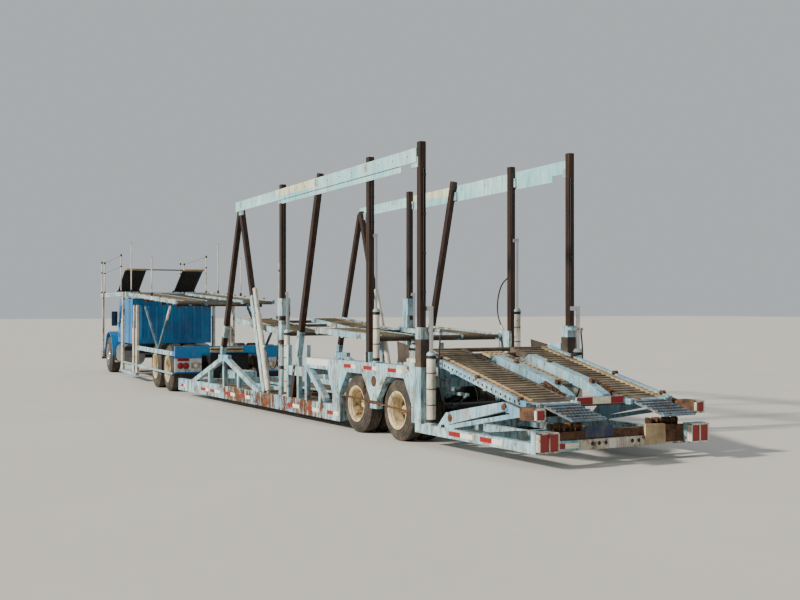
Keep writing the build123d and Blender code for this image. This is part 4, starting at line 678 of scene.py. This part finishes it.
def tail():
    """Lamp surrounds, bumper fittings and the arms' lamp housings."""
    patch = Shape("bumper_patch", "tan_steel", bevel=0.004, sides=ONE)
    rim = Shape("lamp_surrounds", "mast_paint", bevel=0.003)
    rust = Shape("tail_fittings", "rust_iron")
    holes = Shape("bumper_holes", "dark_iron_and_recess_shade", sides=ONE)
    panel = Shape("tail_shade_panel", "navy_painted_shade", bevel=0.004, sides=ONE)
    lamp_frame(rim, (-0.012, 0.062), ((0.996, 1.012), (1.128, 1.144), (1.262, 1.279)), ((0.195, 0.211), (0.408, 0.425)))
    lamp_frame(rim, (0.06, 0.1), ((1.136, 1.154), (1.258, 1.274)), ((0.545, 0.566), (0.674, 0.695)))
    rust.rod((0.39, 1.2, 0.625), (0.74, 1.2, 0.69), 0.045, 16)
    for x, z, radius in ((1.93, 0.44, 0.05), (0.72, 0.67, 0.04), (2.12, 0.31, 0.03)):
        rust.turned((x, 1.25, z), Y, [(0, radius), (0.028, radius), (0.03, radius * 0.5), (0.034, radius * 0.5)], 12)
    # Tie-down drums on the step beam
    for y in (0.9, 0.74, 0.58):
        for cheek in (y - 0.055, y + 0.045):
            rust.box((0.19, 0.3), (cheek, cheek + 0.01), (0.39, 0.5))
        rust.spool((0.245, y - 0.07, 0.46), 0.045, 0.026, (0.02, 0.118, 0.14))
    rust.only().box((0.146, 0.172), (-1.0, -0.722), (0.205, 0.415))
    # Dark discs of painted shade for the bumper's holes
    for y in (0.4, 0.3, 0.2, -0.2, -0.3):
        holes.button((0.151, y, 0.25), BACK, 0.026, 0.003, 16, 0.002)
    # A dark navy panel on the step beam: painted shade under the end flaps
    panel.box((0.168, 0.182), (0.08, 0.5), (0.315, 0.455))
    patch.hexa([(0.143, -0.72, 0.205), (0.172, -0.72, 0.205), (0.172, -0.4, 0.2), (0.143, -0.4, 0.2),
                (0.146, -0.72, 0.425), (0.18, -0.72, 0.43), (0.18, -0.4, 0.44), (0.14, -0.4, 0.44)])


def cylinders():
    """Collars, end caps and foot brackets of the lift cylinders, and the outer tube of the leaning ones."""
    bands = Shape("cylinder_bands", "dark_iron_and_recess_shade")
    feet = Shape("cylinder_ends", "rack_paint")
    tubes = Shape("leaning_tubes", "cylinder_paint")
    # x, y, foot, top, radius
    for x, y, low, high, radius in ((2.5, 1.21, 0.3, 1.24, 0.062), (4.02, CYLINDER_Y, 1.05, 1.81, 0.048),
                                    (7.225, CYLINDER_Y, 0.36, 1.45, 0.05)):
        count = round((high - low) / 0.22)
        for number in range(count + 1):
            z = low + 0.05 + (high - low - 0.1) * number / count
            half = 0.02 if number in (0, count) else 0.006
            bands.turned((x, y, z - half), Z, [(0, radius), (0, radius + 0.004), (2 * half, radius + 0.004),
                                               (2 * half, radius)])
        feet.turned((x, y, high - 0.03), Z, [(0, radius + 0.003), (0.02, radius + 0.003), (0.05, radius * 0.7),
                                             (0.052, radius * 0.5)])
        feet.box((x - 0.085, x + 0.085), (y - 0.055, y + 0.055), (low - 0.004, low + 0.014))
    tubes.rod((8.512, CYLINDER_Y, 1.725), (8.672, CYLINDER_Y, 2.181), 0.042, 20)
    tubes.turned((8.506, CYLINDER_Y, 1.708), (0.331, 0, 0.944), [(-0.03, 0.055), (0.02, 0.055), (0.022, 0.05)], 20)


def posts():
    """Painted lower sleeves and clamps of the posts, pipe runs and the top rails' brackets."""
    sleeve = Shape("post_sleeve_skins", "rack_paint", bevel=0.004)
    pipes = Shape("post_pipes_and_edge_shade", "hose_rubber")
    bolts = Shape("post_clips_and_bolts", "rust_iron")
    # Leaning posts as a foot and a top in x and z, and the heights of their painted sleeves
    for foot, top, heights in (((8.15, 0.36), (9.3, 3.64), (0.37, 2.05)),
                               ((6.95, 0.36), (5.905, 3.9), (0.9, 1.45)),
                               ((10.28, 0.945), (9.35, 3.64), (0.955, 1.1)),
                               ((10.28, 0.945), (9.35, 3.64), (1.28, 1.5))):
        lean = (top[0] - foot[0]) / (top[1] - foot[1])
        start, end = ((foot[0] + lean * (z - foot[1]), POST_MIDDLE, z) for z in heights)
        sleeve.bar(start, end, 0.094, 0.108, X)
    # The middle posts' painted feet, and the pale pipe up their front edge
    for low, high in ((0.365, 0.8), (0.86, 1.22), (1.3, 1.62)):
        sleeve.bar((7.4, POST_MIDDLE, low), (7.4, POST_MIDDLE, high), 0.094, 0.104, X)
    sleeve.rod((7.472, 1.258, 0.37), (7.472, 1.258, 2.6), 0.016)
    for z in (0.6, 1.25, 1.95, 2.45):
        bolts.box((7.44, 7.492), (1.236, 1.279), (z, z + 0.03))
    # Pipe runs with clips behind the upright posts: the post's face and the pipes' lower end
    for face, low in ((2.6725, 1.93), (4.1525, 2.96), (7.3525, 2.16)):
        for y in (1.208, 1.234):
            pipes.rod((face - 0.012, y, low), (face - 0.012, y, 3.7), 0.008, 8)
        for number in range(4):
            z = low + 0.1 + number * (3.5 - low) / 3
            pipes.box((face - 0.022, face), (1.198, 1.244), (z, z + 0.03))
    # Patches, and a dark line of painted shade under the top rail's lower edge where it meets its doubler
    for x in (9.22, 5.93, 4.26):
        z = 3.98 - 0.0306 * (x - RAIL_START)
        sleeve.box((x - 0.08, x + 0.08), (HALF_WIDTH, 1.2902), (z - 0.13, z - 0.012))
    # The dark line of painted shade under the top rail's edge
    pipes.bar((3.2, 1.2835, 3.774), (7.28, 1.2835, 3.66), 0.004, 0.012)
    # Lugs between the top rail and the posts, and the rail's flush bolts
    for x, z in ((2.83, 3.88), (4.2, 3.86), (5.93, 3.8), (7.4, 3.76), (9.25, 3.69)):
        sleeve.box((x - 0.09, x + 0.09), (1.245, POST_OUTER + 0.001), (z - 0.16, z - 0.02))
    for number in range(16):
        x = 3.0 + number * 0.42
        bolts.button((x, 1.289, 3.89 - 0.0279 * (x - RAIL_START)), Y, 0.014, 0.0012, 6, crown=0.0002)


def beams():
    """Bolts, lamps, the blank plate, the rusty bar along the wheels and the control levers."""
    plate = Shape("blank_plates", "plate_white")
    bolts, rust = Shape("frame_bolts", "rust_iron"), Shape("wheel_bars", "rust_iron")
    amber, dark = Shape("side_lamps", "lamp_amber"), Shape("side_lamp_rings", "dark_iron_and_recess_shade")
    metal = Shape("valve_blocks", "cylinder_paint", bevel=0.004)
    plate.box((5.5, 6.3), BEAM_FACE, (0.935, 1.035))
    for x, heights in ((5.53, (0.95, 1.02)), (6.27, (0.95, 1.02)), (2.9, (0.92,)), (3.0, (0.92,)),
                       (2.88, (0.5, 0.6, 0.7)), (3.99, (0.45, 0.6)), (5.18, (0.45, 0.55, 0.65)), (7.08, (0.76,)),
                       (6.36, (0.85,))):
        for z in heights:
            bolts.button((x, HALF_WIDTH - 0.004, z), Y, 0.013, 0.005, 6, crown=0.0002)
    dark.turned((6.82, HALF_WIDTH - 0.008, 0.81), Y, [(0, 0.05), (0.009, 0.048), (0.0092, 0.034)], 20)
    amber.turned((6.82, HALF_WIDTH - 0.004, 0.81), Y, [(0, 0.034), (0.004, 0.033), (0.0055, 0.02), (0.006, 0.0)], 20)
    # Ringed hub with eight small bolts on the middle leg
    dark.turned((3.99, HALF_WIDTH - 0.02, 0.79), Y, [(0, 0.082), (0.0205, 0.078), (0.021, 0.062)], 20)
    rust.turned((3.99, HALF_WIDTH - 0.02, 0.79), Y, [(0, 0.06), (0.021, 0.058), (0.0215, 0.03)], 16)
    for point in dark.ring((3.99, HALF_WIDTH - 0.001, 0.79), Y, 0.045, 8):
        dark.turned(point, Y, [(0, 0.012), (0.0024, 0.01)], 6)
    # Loose chain gathered at the top of the middle leg
    for side in BOTH:
        for number in range(22):
            centre = (4.14 + uniform(-0.07, 0.05), uniform(1.235, 1.262), 0.8 + uniform(-0.07, 0.05))
            axis = (uniform(-1, 1), side * uniform(-0.4, 0.4), uniform(-1, 1))
            rust.only(side).link(centre, axis, 0.014, 0.026, 0.006)
    # A rusty bar across both arches, hooked into the legs
    for (start_x, start_z), (end_x, end_z) in (((5.24, 0.53), (4.1, 0.5)), ((3.89, 0.48), (2.9, 0.43))):
        rust.rod((start_x, 1.268, start_z), (end_x, 1.268, end_z), 0.013, 10)
    rust.box((3.86, 4.13), BEAM_FACE, (0.465, 0.515))
    for x, z in ((4.14, 0.5), (3.86, 0.48), (2.93, 0.43), (5.22, 0.53)):
        rust.rod((x, 1.256, z), (x, 1.282, z), 0.032)
    # Chain hanging from the beam in the front arch
    for number in range(11):
        centre = (4.33 + 0.012 * (number % 3), 1.255, 0.86 - number * 0.026)
        rust.link(centre, Y if number % 2 else X, 0.012, 0.022, 0.005)
    # Valve block with levers on the ledge at the rear posts
    metal.box((2.83, 3.07), (1.195, 1.262), (1.099, 1.155))
    for number in range(5):
        x = 2.86 + number * 0.045
        metal.rod((x, 1.228, 1.15), (x - 0.03, 1.25, 1.27), 0.006, 8)
        dark.turned((x - 0.03, 1.25, 1.262), (-0.24, 0.18, 0.95), [(0, 0.008), (0.008, 0.014), (0.03, 0.014),
                                                                 (0.038, 0.008)], 10)


def running_gear():
    """Leaf springs, brake chambers and the air tank under the trailer."""
    spring, pots = Shape("leaf_springs", "axle_black"), Shape("brake_chambers", "axle_black")
    tank = Shape("air_tank", "frame_black", slot="axle_black", sides=ONE)
    for axle in (3.36, 4.605):
        for leaf in range(5):
            reach, z = 0.46 - leaf * 0.075, 0.56 - leaf * 0.014
            bend = 0.1 * (reach / 0.46) ** 2
            points = [(axle + t * reach, 0.47, z + bend * t * t) for t in (-1, -0.6, -0.2, 0.2, 0.6, 1)]
            for a, b in zip(points, points[1:]):
                spring.bar(a, b, 0.08, 0.012)
        spring.box((axle - 0.1, axle + 0.1), (0.41, 0.53), (0.36, 0.385))
        for x in (axle - 0.08, axle + 0.08):
            for y in (0.415, 0.525):
                spring.rod((x, y, 0.36), (x, y, 0.6), 0.009, 8)
        pots.turned((axle + 0.17, 0.6, 0.5), X, [(0, 0.05), (0.02, 0.075), (0.06, 0.082), (0.065, 0.09),
                                                   (0.075, 0.09), (0.08, 0.082), (0.15, 0.078), (0.17, 0.05)], 20)
        pots.rod((axle, 0.6, 0.5), (axle + 0.18, 0.6, 0.5), 0.014, 8)
    tank.turned((5.24, -0.5, 0.6), Y, [(-0.05, 0.06), (-0.02, 0.12), (0.02, 0.14), (0.98, 0.14), (1.02, 0.12),
                                         (1.05, 0.06)])
    for y in (-0.35, 0.35):
        tank.box((5.225, 5.255), (y - 0.02, y + 0.02), (0.73, 0.762))


def deck_skin(deck, line, start, end, pitch=0.096, middle=(0.0, 0.0)):
    """Cleats across the wheel tracks, dark discs of painted shade for the holes in the walkways, and edge angles of one
    moving deck.
    """
    cleats = Shape(f"{deck}_cleats", "tread_ribs", deck, bevel=0.002)
    holes = Shape(f"{deck}_holes", "dark_iron_and_recess_shade", deck, "deck_steel")
    edges = Shape(f"{deck}_edges", "tan_steel", deck)
    count = int(abs(end - start) / pitch)
    for number in range(count):
        x = start + (end - start) * (number + 0.5) / count
        cleats.bar(on(line, x, TRACK_INNER + 0.015, 0.0245), on(line, x, TRACK_OUTER - 0.015, 0.0245), 0.042, 0.014)
        row = [(0.985, 0.0195), (1.035, 0.0195)]
        if middle[0] < x < middle[1]:
            row += [(0.04, 0.015), (0.12, 0.015)]
        for y, lift in row:
            holes.button(on(line, x, y, lift), Z, 0.019, 0.005, 8, 0.002)
    for y in (TRACK_OUTER - 0.006, WALK[0] + 0.002):
        edges.bar(on(line, start, y, 0.024), on(line, end, y, 0.024), 0.008, 0.014)


def decks():
    deck_skin("rear_deck", REAR_LINE, 2.97, 0.62, middle=(1.45, 2.88))
    deck_skin("middle_deck", MIDDLE_LINE, 4.42, 6.3)
    deck_skin("front_deck", FRONT_LINE, 7.66, 9.87)
    cleats = Shape("low_track_cleats", "tread_ribs", bevel=0.002)
    for number in range(72):
        x = 5.17 + number * 0.096
        cleats.box((x, x + 0.022), (TRACK_INNER + 0.012, 1.055), (0.279, 0.289))
    # Dark bars and discs of painted shade for the grooves and the row of holes on each end flap
    for side_name, side in SIDES:
        flap = f"end_flap_{side_name}"
        grooves = Shape(f"{flap}_grooves", "dark_iron_and_recess_shade", flap, "deck_steel", sides=(side,))
        for number in range(8):
            y = 0.505 + number * 0.05
            grooves.bar(on(FLAP_LINE, 0.3, y, 0.012), on(FLAP_LINE, -0.11, y, 0.012), 0.014, 0.008)
            grooves.button(on(FLAP_LINE, 0.35, y, 0.012), Z, 0.015, 0.0045, 10)
    # Dark discs of painted shade for a row of holes along the outer faces of the rear deck's rails, then its hinge and
    # ratchet fittings
    holes = Shape("rear_deck_rail_holes", "dark_iron_and_recess_shade", "rear_deck", "deck_steel")
    for number in range(24):
        holes.button(on(REAR_LINE, 0.6 + number * 0.1, 1.122), Y, 0.018, 0.0045, 10)
    fittings = Shape("rear_deck_fittings", "rust_iron", "rear_deck")
    for y, lift, places in ((1.1, 0.045, (0.62, 1.55, 2.45)), (0.27, 0.12, (1.0, 1.9))):
        for x in places:
            fittings.spool(on(REAR_LINE, x, y - 0.03, lift), 0.035, 0.02, (0.012, 0.046, 0.055))
    fittings.bar(on(REAR_LINE, 0.86, 0.36, 0.05), on(REAR_LINE, 1.1, 0.4, 0.1), 0.045, 0.02)
    fittings.rod(on(REAR_LINE, 2.35, 0.4, -0.03), on(REAR_LINE, 0.75, 0.4, -0.03), 0.012, 8)
    # Chain heaped between the tracks at the low end
    for side in BOTH:
        for number in range(26):
            x, y = 0.92 + uniform(-0.16, 0.22), 0.385 + uniform(-0.03, 0.03)
            axis = (uniform(-1, 1), side * uniform(-1, 1), uniform(-1, 1))
            fittings.only(side).link(on(REAR_LINE, x, y, 0.03 + uniform(0, 0.03)), axis, 0.013, 0.025, 0.006)


tapes()
tail()
cylinders()
posts()
beams()
running_gear()
decks()


# Tractor

REAR_PANEL_U = 0.021
LIFT_V = 1.218
DECK_STANCHION_V = 1.0975


def cab():
    """Ribbed back panel, roof lamps, grab rails, wipers and seals."""
    ribs = Shape("cab_back_ribs", "tractor_paint", "tractor", bevel=0.006, sides=ONE)
    lamps = Shape("roof_lamps", "lamp_amber", "tractor", bevel=0.004, sides=ONE)
    rails = Shape("grab_rails", "bright_metal", "tractor")
    dark = Shape("wipers_and_seals", "trim_plastic", "tractor")
    out, back, edge = CAB_REAR - 0.028, CAB_REAR + 0.002, (CAB_REAR - 0.02, CAB_REAR + 0.05)
    for number in range(9):
        v = -0.8 + number * 0.2
        ribs.hexa([(out, v - 0.025, 1.02), (back, v - 0.05, 1.0), (back, v + 0.05, 1.0), (out, v + 0.025, 1.02),
                   (out, v - 0.025, 1.9), (back, v - 0.05, 1.92), (back, v + 0.05, 1.92), (out, v + 0.025, 1.9)])
    for v in (-1.035, 1.035):
        ribs.box(edge, (v - 0.016, v + 0.016), (0.9, 2.075))
    ribs.box(edge, (-1.03, 1.03), (1.975, 2.075))
    for v in (-0.8, -0.25, 0.0, 0.25, 0.8):
        lamps.hexa([(7.88, v - 0.05, 2.079), (7.96, v - 0.04, 2.079), (7.96, v + 0.04, 2.079), (7.88, v + 0.05, 2.079),
                    (7.89, v - 0.035, 2.115), (7.93, v - 0.03, 2.115), (7.93, v + 0.03, 2.115),
                    (7.89, v + 0.035, 2.115)])
    rails.rod((7.1, 1.095, 1.15), (7.1, 1.095, 1.8), 0.013)
    for z in (1.17, 1.78):
        rails.rod((7.1, 1.045, z), (7.1, 1.095, z), 0.011, 10)
    # Wipers on the leaning windshield, and its rubber edge
    dark.bar((8.238, 0.18, 1.525), (8.155, 0.62, 1.72), 0.012, 0.014)
    dark.bar((8.243, 0.18, 1.5), (8.232, 0.18, 1.54), 0.03, 0.03)
    for z in (1.52, 1.99):
        u = 8.25 - 0.28 * (z - 1.48) / 0.6
        dark.bar((u, 0.02, z), (u, 0.91, z), 0.012, 0.022)
    for v in (0.02, 0.905):
        dark.bar((8.232, v, 1.52), (8.012, v, 1.99), 0.02, 0.012)


def doors():
    """Mirror glass, window seals, handle, and a dark strip of painted shade for the pressed line of each door."""
    inside, outside = CAB_HALF - 0.002, CAB_HALF + 0.022
    for side_name, side in SIDES:
        body = f"door_{side_name}"
        mirror = Shape(f"mirror_glass_{side_name}", "mirror_silver", body, sides=(side,))
        trim = Shape(f"door_trim_{side_name}", "trim_plastic", body, sides=(side,))
        handle = Shape(f"door_handle_{side_name}", "bright_metal", body, sides=(side,))
        for z in ((1.35, 1.53), (1.55, 1.71)):
            mirror.box((7.997, 8.001), (1.125, 1.25), z)
        # u limits, how far it stands out, and z limits; the last, thin dark strip is painted shade for the door's
        # pressed line
        for u, proud, z in (((7.261, 7.279), 0.006, (1.41, 1.48)), ((7.999, 8.017), 0.006, (1.41, 1.48)),
                            ((7.26, 8.01), 0.006, (1.398, 1.416)), ((7.22, 7.4), 0.004, (1.255, 1.325)),
                            ((7.22, 8.04), 0.003, (1.05, 1.062))):
            trim.box(u, (inside, CAB_HALF + proud), z)
        handle.bar((7.24, outside, 1.29), (7.38, outside, 1.29), 0.016, 0.026)
        for u in (7.245, 7.375):
            handle.rod((u, inside, 1.29), (u, outside, 1.29), 0.009, 8)


def front():
    """Grille surround, lamps, fender lamps, hood vents and bumper fittings."""
    metal = Shape("grille_surround", "bright_metal", "tractor", bevel=0.003)
    clear = Shape("front_lenses", "lamp_clear", "tractor")
    amber = Shape("fender_lamps", "lamp_amber", "tractor", bevel=0.003)
    dark = Shape("hood_vents", "trim_plastic", "tractor")
    metal.box((10.19, 10.214), (0.427, 0.463), (0.665, 1.195))
    for half, z, high, face in ((0.445, 0.672, 0.016, 10.214), (0.445, 1.188, 0.016, 10.214),
                                (0.42, 0.8, 0.006, 10.209), (0.42, 0.92, 0.006, 10.209), (0.42, 1.04, 0.006, 10.209)):
        metal.only().box((10.19, face), (-half, half), (z - high, z + high))
    for v in (0.7, 0.8):
        metal.turned((10.224, v, 0.725), X, [(0, 0.046), (0.012, 0.048), (0.014, 0.04)])
        clear.turned((10.228, v, 0.725), X, [(0, 0.04), (0.006, 0.036), (0.01, 0.02), (0.011, 0.0)])
    amber.hexa([(9.62, 1.1, 1.02), (9.72, 1.1, 0.985), (9.72, 1.16, 0.985), (9.62, 1.16, 1.02),
                (9.62, 1.105, 1.06), (9.7, 1.105, 1.03), (9.7, 1.155, 1.03), (9.62, 1.155, 1.06)])
    for number in range(6):
        u = 8.52 + number * 0.06
        dark.box((u, u + 0.03), (0.596, 0.606), (1.22, 1.34))
    clear.turned((10.396, 0.85, 0.47), X, [(0, 0.05), (0.004, 0.05), (0.006, 0.03), (0.0065, 0.0)], 20)
    metal.turned((10.37, 0.55, 0.48), X, [(0.026, 0.045), (0.03, 0.058), (0.032, 0.045)], 20, closed=True)
    dark.bar((9.0, 0.603, 1.0), (9.08, 0.603, 1.0), 0.01, 0.05)
    dark.only().box((10.398, 10.402), (-0.3, 0.3), (0.42, 0.54))


def rear():
    """Lamps and plates on the rear panels, tubes on the tail beam, tape on the marker rails and lift tubes."""
    red = Shape("tractor_red_lamps", "lamp_red", "tractor")
    white = Shape("tractor_tape_white", "tape_white", "tractor")
    clear = Shape("reversing_lamps", "lamp_clear", "tractor")
    tan = Shape("tail_tubes", "tan_steel", "tractor")
    dark = Shape("tractor_dark_fittings", "frame_black", "tractor")
    tubes = Shape("tractor_lift_tubes", "cylinder_paint", "tractor")
    red.box((0.008, REAR_PANEL_U), (0.97, 1.22), (0.7, 0.76))
    for v in (1.035, 1.155):
        lamp = (REAR_PANEL_U, v, 0.6)
        red.turned(lamp, BACK, [(0, 0.062), (0.012, 0.06), (0.018, 0.04), (0.02, 0.0)])
        dark.turned(lamp, BACK, [(0, 0.07), (0.007, 0.068), (0.0072, 0.062)])
    clear.button((REAR_PANEL_U, 0.83, 0.6), BACK, 0.045, 0.012, 24, 0.003, 0.002)
    tan.box((0.016, REAR_PANEL_U), (0.74, 0.925), (0.54, 0.66))
    # Marker rail tape, in pairs of red and white
    for u in (4.05, 3.15, 2.25, 1.35, 0.62):
        red.box((u - 0.12, u), MARKER_FACE, (0.825, 0.878))
        white.box((u - 0.24, u - 0.12), MARKER_FACE, (0.825, 0.878))
    # Lift tubes ahead of the rear masts, with collars, then the tubes' feet
    for u, top in ((4.6, 1.86), (5.01, 1.86), (6.6, 2.1)):
        tubes.rod((u, LIFT_V, 0.22), (u, LIFT_V, top - 0.5), 0.036, 16)
        tubes.rod((u, LIFT_V, top - 0.5), (u, LIFT_V, top), 0.018)
        tubes.box((u - 0.16, u + 0.02), (1.2, 1.236), (top - 0.05, top))
        dark.rod((u, LIFT_V, top - 0.54), (u, LIFT_V, top - 0.51), 0.039, 16)
        dark.rod((u, LIFT_V, 0.6), (u, LIFT_V, 0.62), 0.038, 16)
    for u in (4.49, 4.9, 6.48):
        tubes.box((u - 0.07, u + 0.07), (1.186, 1.252), (0.221, 0.3))
    # Air tanks hung from the chassis rails
    dark.turned((3.25, 0.6, 0.7), X, [(0, 0.06), (0.03, 0.12), (0.06, 0.13), (0.74, 0.13), (0.77, 0.12),
                                        (0.8, 0.06)])
    for u in (3.45, 3.9):
        dark.box((u, u + 0.04), (0.42, 0.6), (0.81, 0.85))
    for z in (0.9, 0.965):
        tan.only().rod((-0.004, -0.2, z), (-0.004, 0.52, z), 0.024, 16)
    for v in (-0.15, 0.45):
        dark.only().box((-0.012, 0.022), (v, v + 0.03), (0.87, 1.0))


def tanks():
    """Straps and caps of the tanks, and ribbed step treads."""
    straps = Shape("tank_straps", "bright_metal", "tractor")
    caps = Shape("tank_caps", "frame_black", "tractor")
    treads = Shape("step_treads", "tank_aluminium", "tractor")
    middle_v, middle_z, flat, corner = 0.9, 0.59, 0.08, 0.2
    for u in (6.74, 6.93, 7.34, 7.53):
        loops = []
        for along_u, radius in ((u, corner), (u, corner + 0.006), (u + 0.05, corner + 0.006), (u + 0.05, corner)):
            loops.append([(along_u, middle_v + v * flat + cos((quarter + step / 6) * pi / 2) * radius,
                           middle_z + z * flat + sin((quarter + step / 6) * pi / 2) * radius)
                          for quarter, (v, z) in enumerate(((1, 1), (-1, 1), (-1, -1), (1, -1))) for step in range(7)])
        straps.rings(loops)
    caps.turned((7.2, 1.02, 0.855), (0, 0.35, 1), [(-0.02, 0.045), (0.02, 0.045), (0.022, 0.055), (0.045, 0.055),
                                                    (0.05, 0.045)], 20)
    for z, reach in ((0.372, 1.13), (0.662, 1.09)):
        for number in range(7):
            u = 7.885 + number * 0.055
            treads.box((u, u + 0.02), (0.72, reach), (z - 0.003, z + 0.006))


def tractor_deck():
    """Cleats, cross tubes, pipes and stanchion ends of the tilting deck."""
    deck_skin("tractor_deck", TRACTOR_LINE, 6.25, 0.7, pitch=0.11)
    rust = Shape("tractor_deck_tubes", "rust_iron", "tractor_deck", "deck_steel")
    pale = Shape("tractor_deck_pipes", "clean_paint", "tractor_deck", sides=ONE)
    dark = Shape("deck_stanchion_ends", "dark_iron_and_recess_shade", "tractor_deck")
    across = rust.only()
    for u, lift, reach in ((1.2, -0.09, 0.95), (2.6, -0.1, 1.0), (3.3, -0.09, 0.8), (4.4, -0.1, 1.0),
                           (5.3, -0.09, 0.9)):
        across.rod(on(TRACTOR_LINE, u, -reach, lift), on(TRACTOR_LINE, u, reach, lift), 0.028, 14)
        for v in (-reach, -0.2, 0.25, reach):
            across.rod(on(TRACTOR_LINE, u, v - 0.03, lift), on(TRACTOR_LINE, u, v + 0.03, lift), 0.045)
    for v in (-0.62, 0.33, 0.7):
        pale.rod(on(TRACTOR_LINE, 5.6, v, -0.075), on(TRACTOR_LINE, 1.0, v, -0.075), 0.02)
    for u in (1.4, 2.4, 3.0, 3.9, 4.7, 5.5):
        rust.turned(on(TRACTOR_LINE, u, 1.08, 0.045), Y, [(0, 0.03), (0.012, 0.03), (0.014, 0.018), (0.034, 0.018),
                                                          (0.036, 0.03)], 12)
    for side, u, top in ((-1, 3.38, 3.05), (1, 3.38, 3.05), (-1, 5.59, 3.52), (1, 6.02, 3.52)):
        end = dark.only(side)
        end.turned((u, DECK_STANCHION_V, top - 0.012), Z, [(0, 0.018), (0.006, 0.022), (0.012, 0.018)], 10)
        end.turned(on(TRACTOR_LINE, u, DECK_STANCHION_V, 0.04), Z, [(0, 0.03), (0.09, 0.026), (0.092, 0.016)], 12)


def head_rack():
    """Cross tubes, cleats, bolts, stanchion heads and cables, and the ramps' rounded tips and slats."""
    rust = Shape("head_rack_tubes", "rust_iron", "tractor", "deck_steel")
    dark = Shape("rack_stanchion_heads", "dark_iron_and_recess_shade", "tractor")
    pale = Shape("head_rack_cleats", "tread_ribs", "tractor")
    bolts = Shape("head_rack_bolts", "rust_iron", "tractor")
    tops = ((7.14, 3.28), (9.83, 3.16), (10.34, 3.19))
    for u, top in tops:
        dark.turned((u, STANCHION_V, top - 0.07), Z, [(0, 0.016), (0.015, 0.025), (0.045, 0.026), (0.065, 0.018),
                                                      (0.069, 0.0)], 12)
        dark.turned((u, STANCHION_V, top - 0.36), Z, [(0, 0.016), (0.01, 0.024), (0.035, 0.024), (0.045, 0.016)], 12)
        bolts.turned((u, STANCHION_V, RACK_TOP - 0.002), Z, [(0, 0.027), (0.05, 0.025), (0.052, 0.016)], 12)
    for (u0, z0), (u1, z1) in zip(tops, tops[1:]):
        for drop in (0.04, 0.34):
            dark.rod((u0, STANCHION_V, z0 - drop), (u1, STANCHION_V, z1 - drop), 0.004, 6)
    for number in range(13):
        bolts.button((6.55 + number * 0.3, 1.1885, 2.195), Y, 0.016, 0.0082, 6, crown=0.0002)
    for number in range(34):
        u = 6.7 + number * 0.105
        pale.box((u, u + 0.02), (0.47, 0.98), (2.224, 2.235))
    rust.rod((6.7, 0.4, 2.2), (10.2, 0.4, 2.2), 0.018, 10)
    rust.only().rod((6.56, -1.13, 2.2), (6.56, 1.13, 2.2), 0.02)

    tips = Shape("ramp_tips", "tan_steel", "head_ramps")
    slats = Shape("ramp_slats", "dark_iron_and_recess_shade", "head_ramps", "frame_black")
    tips.rod((7.075, 0.5, 2.862), (7.075, 1.06, 2.862), 0.03, 16)
    for v in (0.505, 1.055):
        slats.rod((8.16, v, 2.312), (7.12, v, 2.85), 0.014, 10)
    for number in range(5):
        v = 0.58 + number * 0.1
        slats.rod((8.12, v, 2.312), (7.28, v, 2.747), 0.008, 8)


cab()
doors()
front()
rear()
tanks()
tractor_deck()
head_rack()

for shape in Shape.made:
    shape.piece()
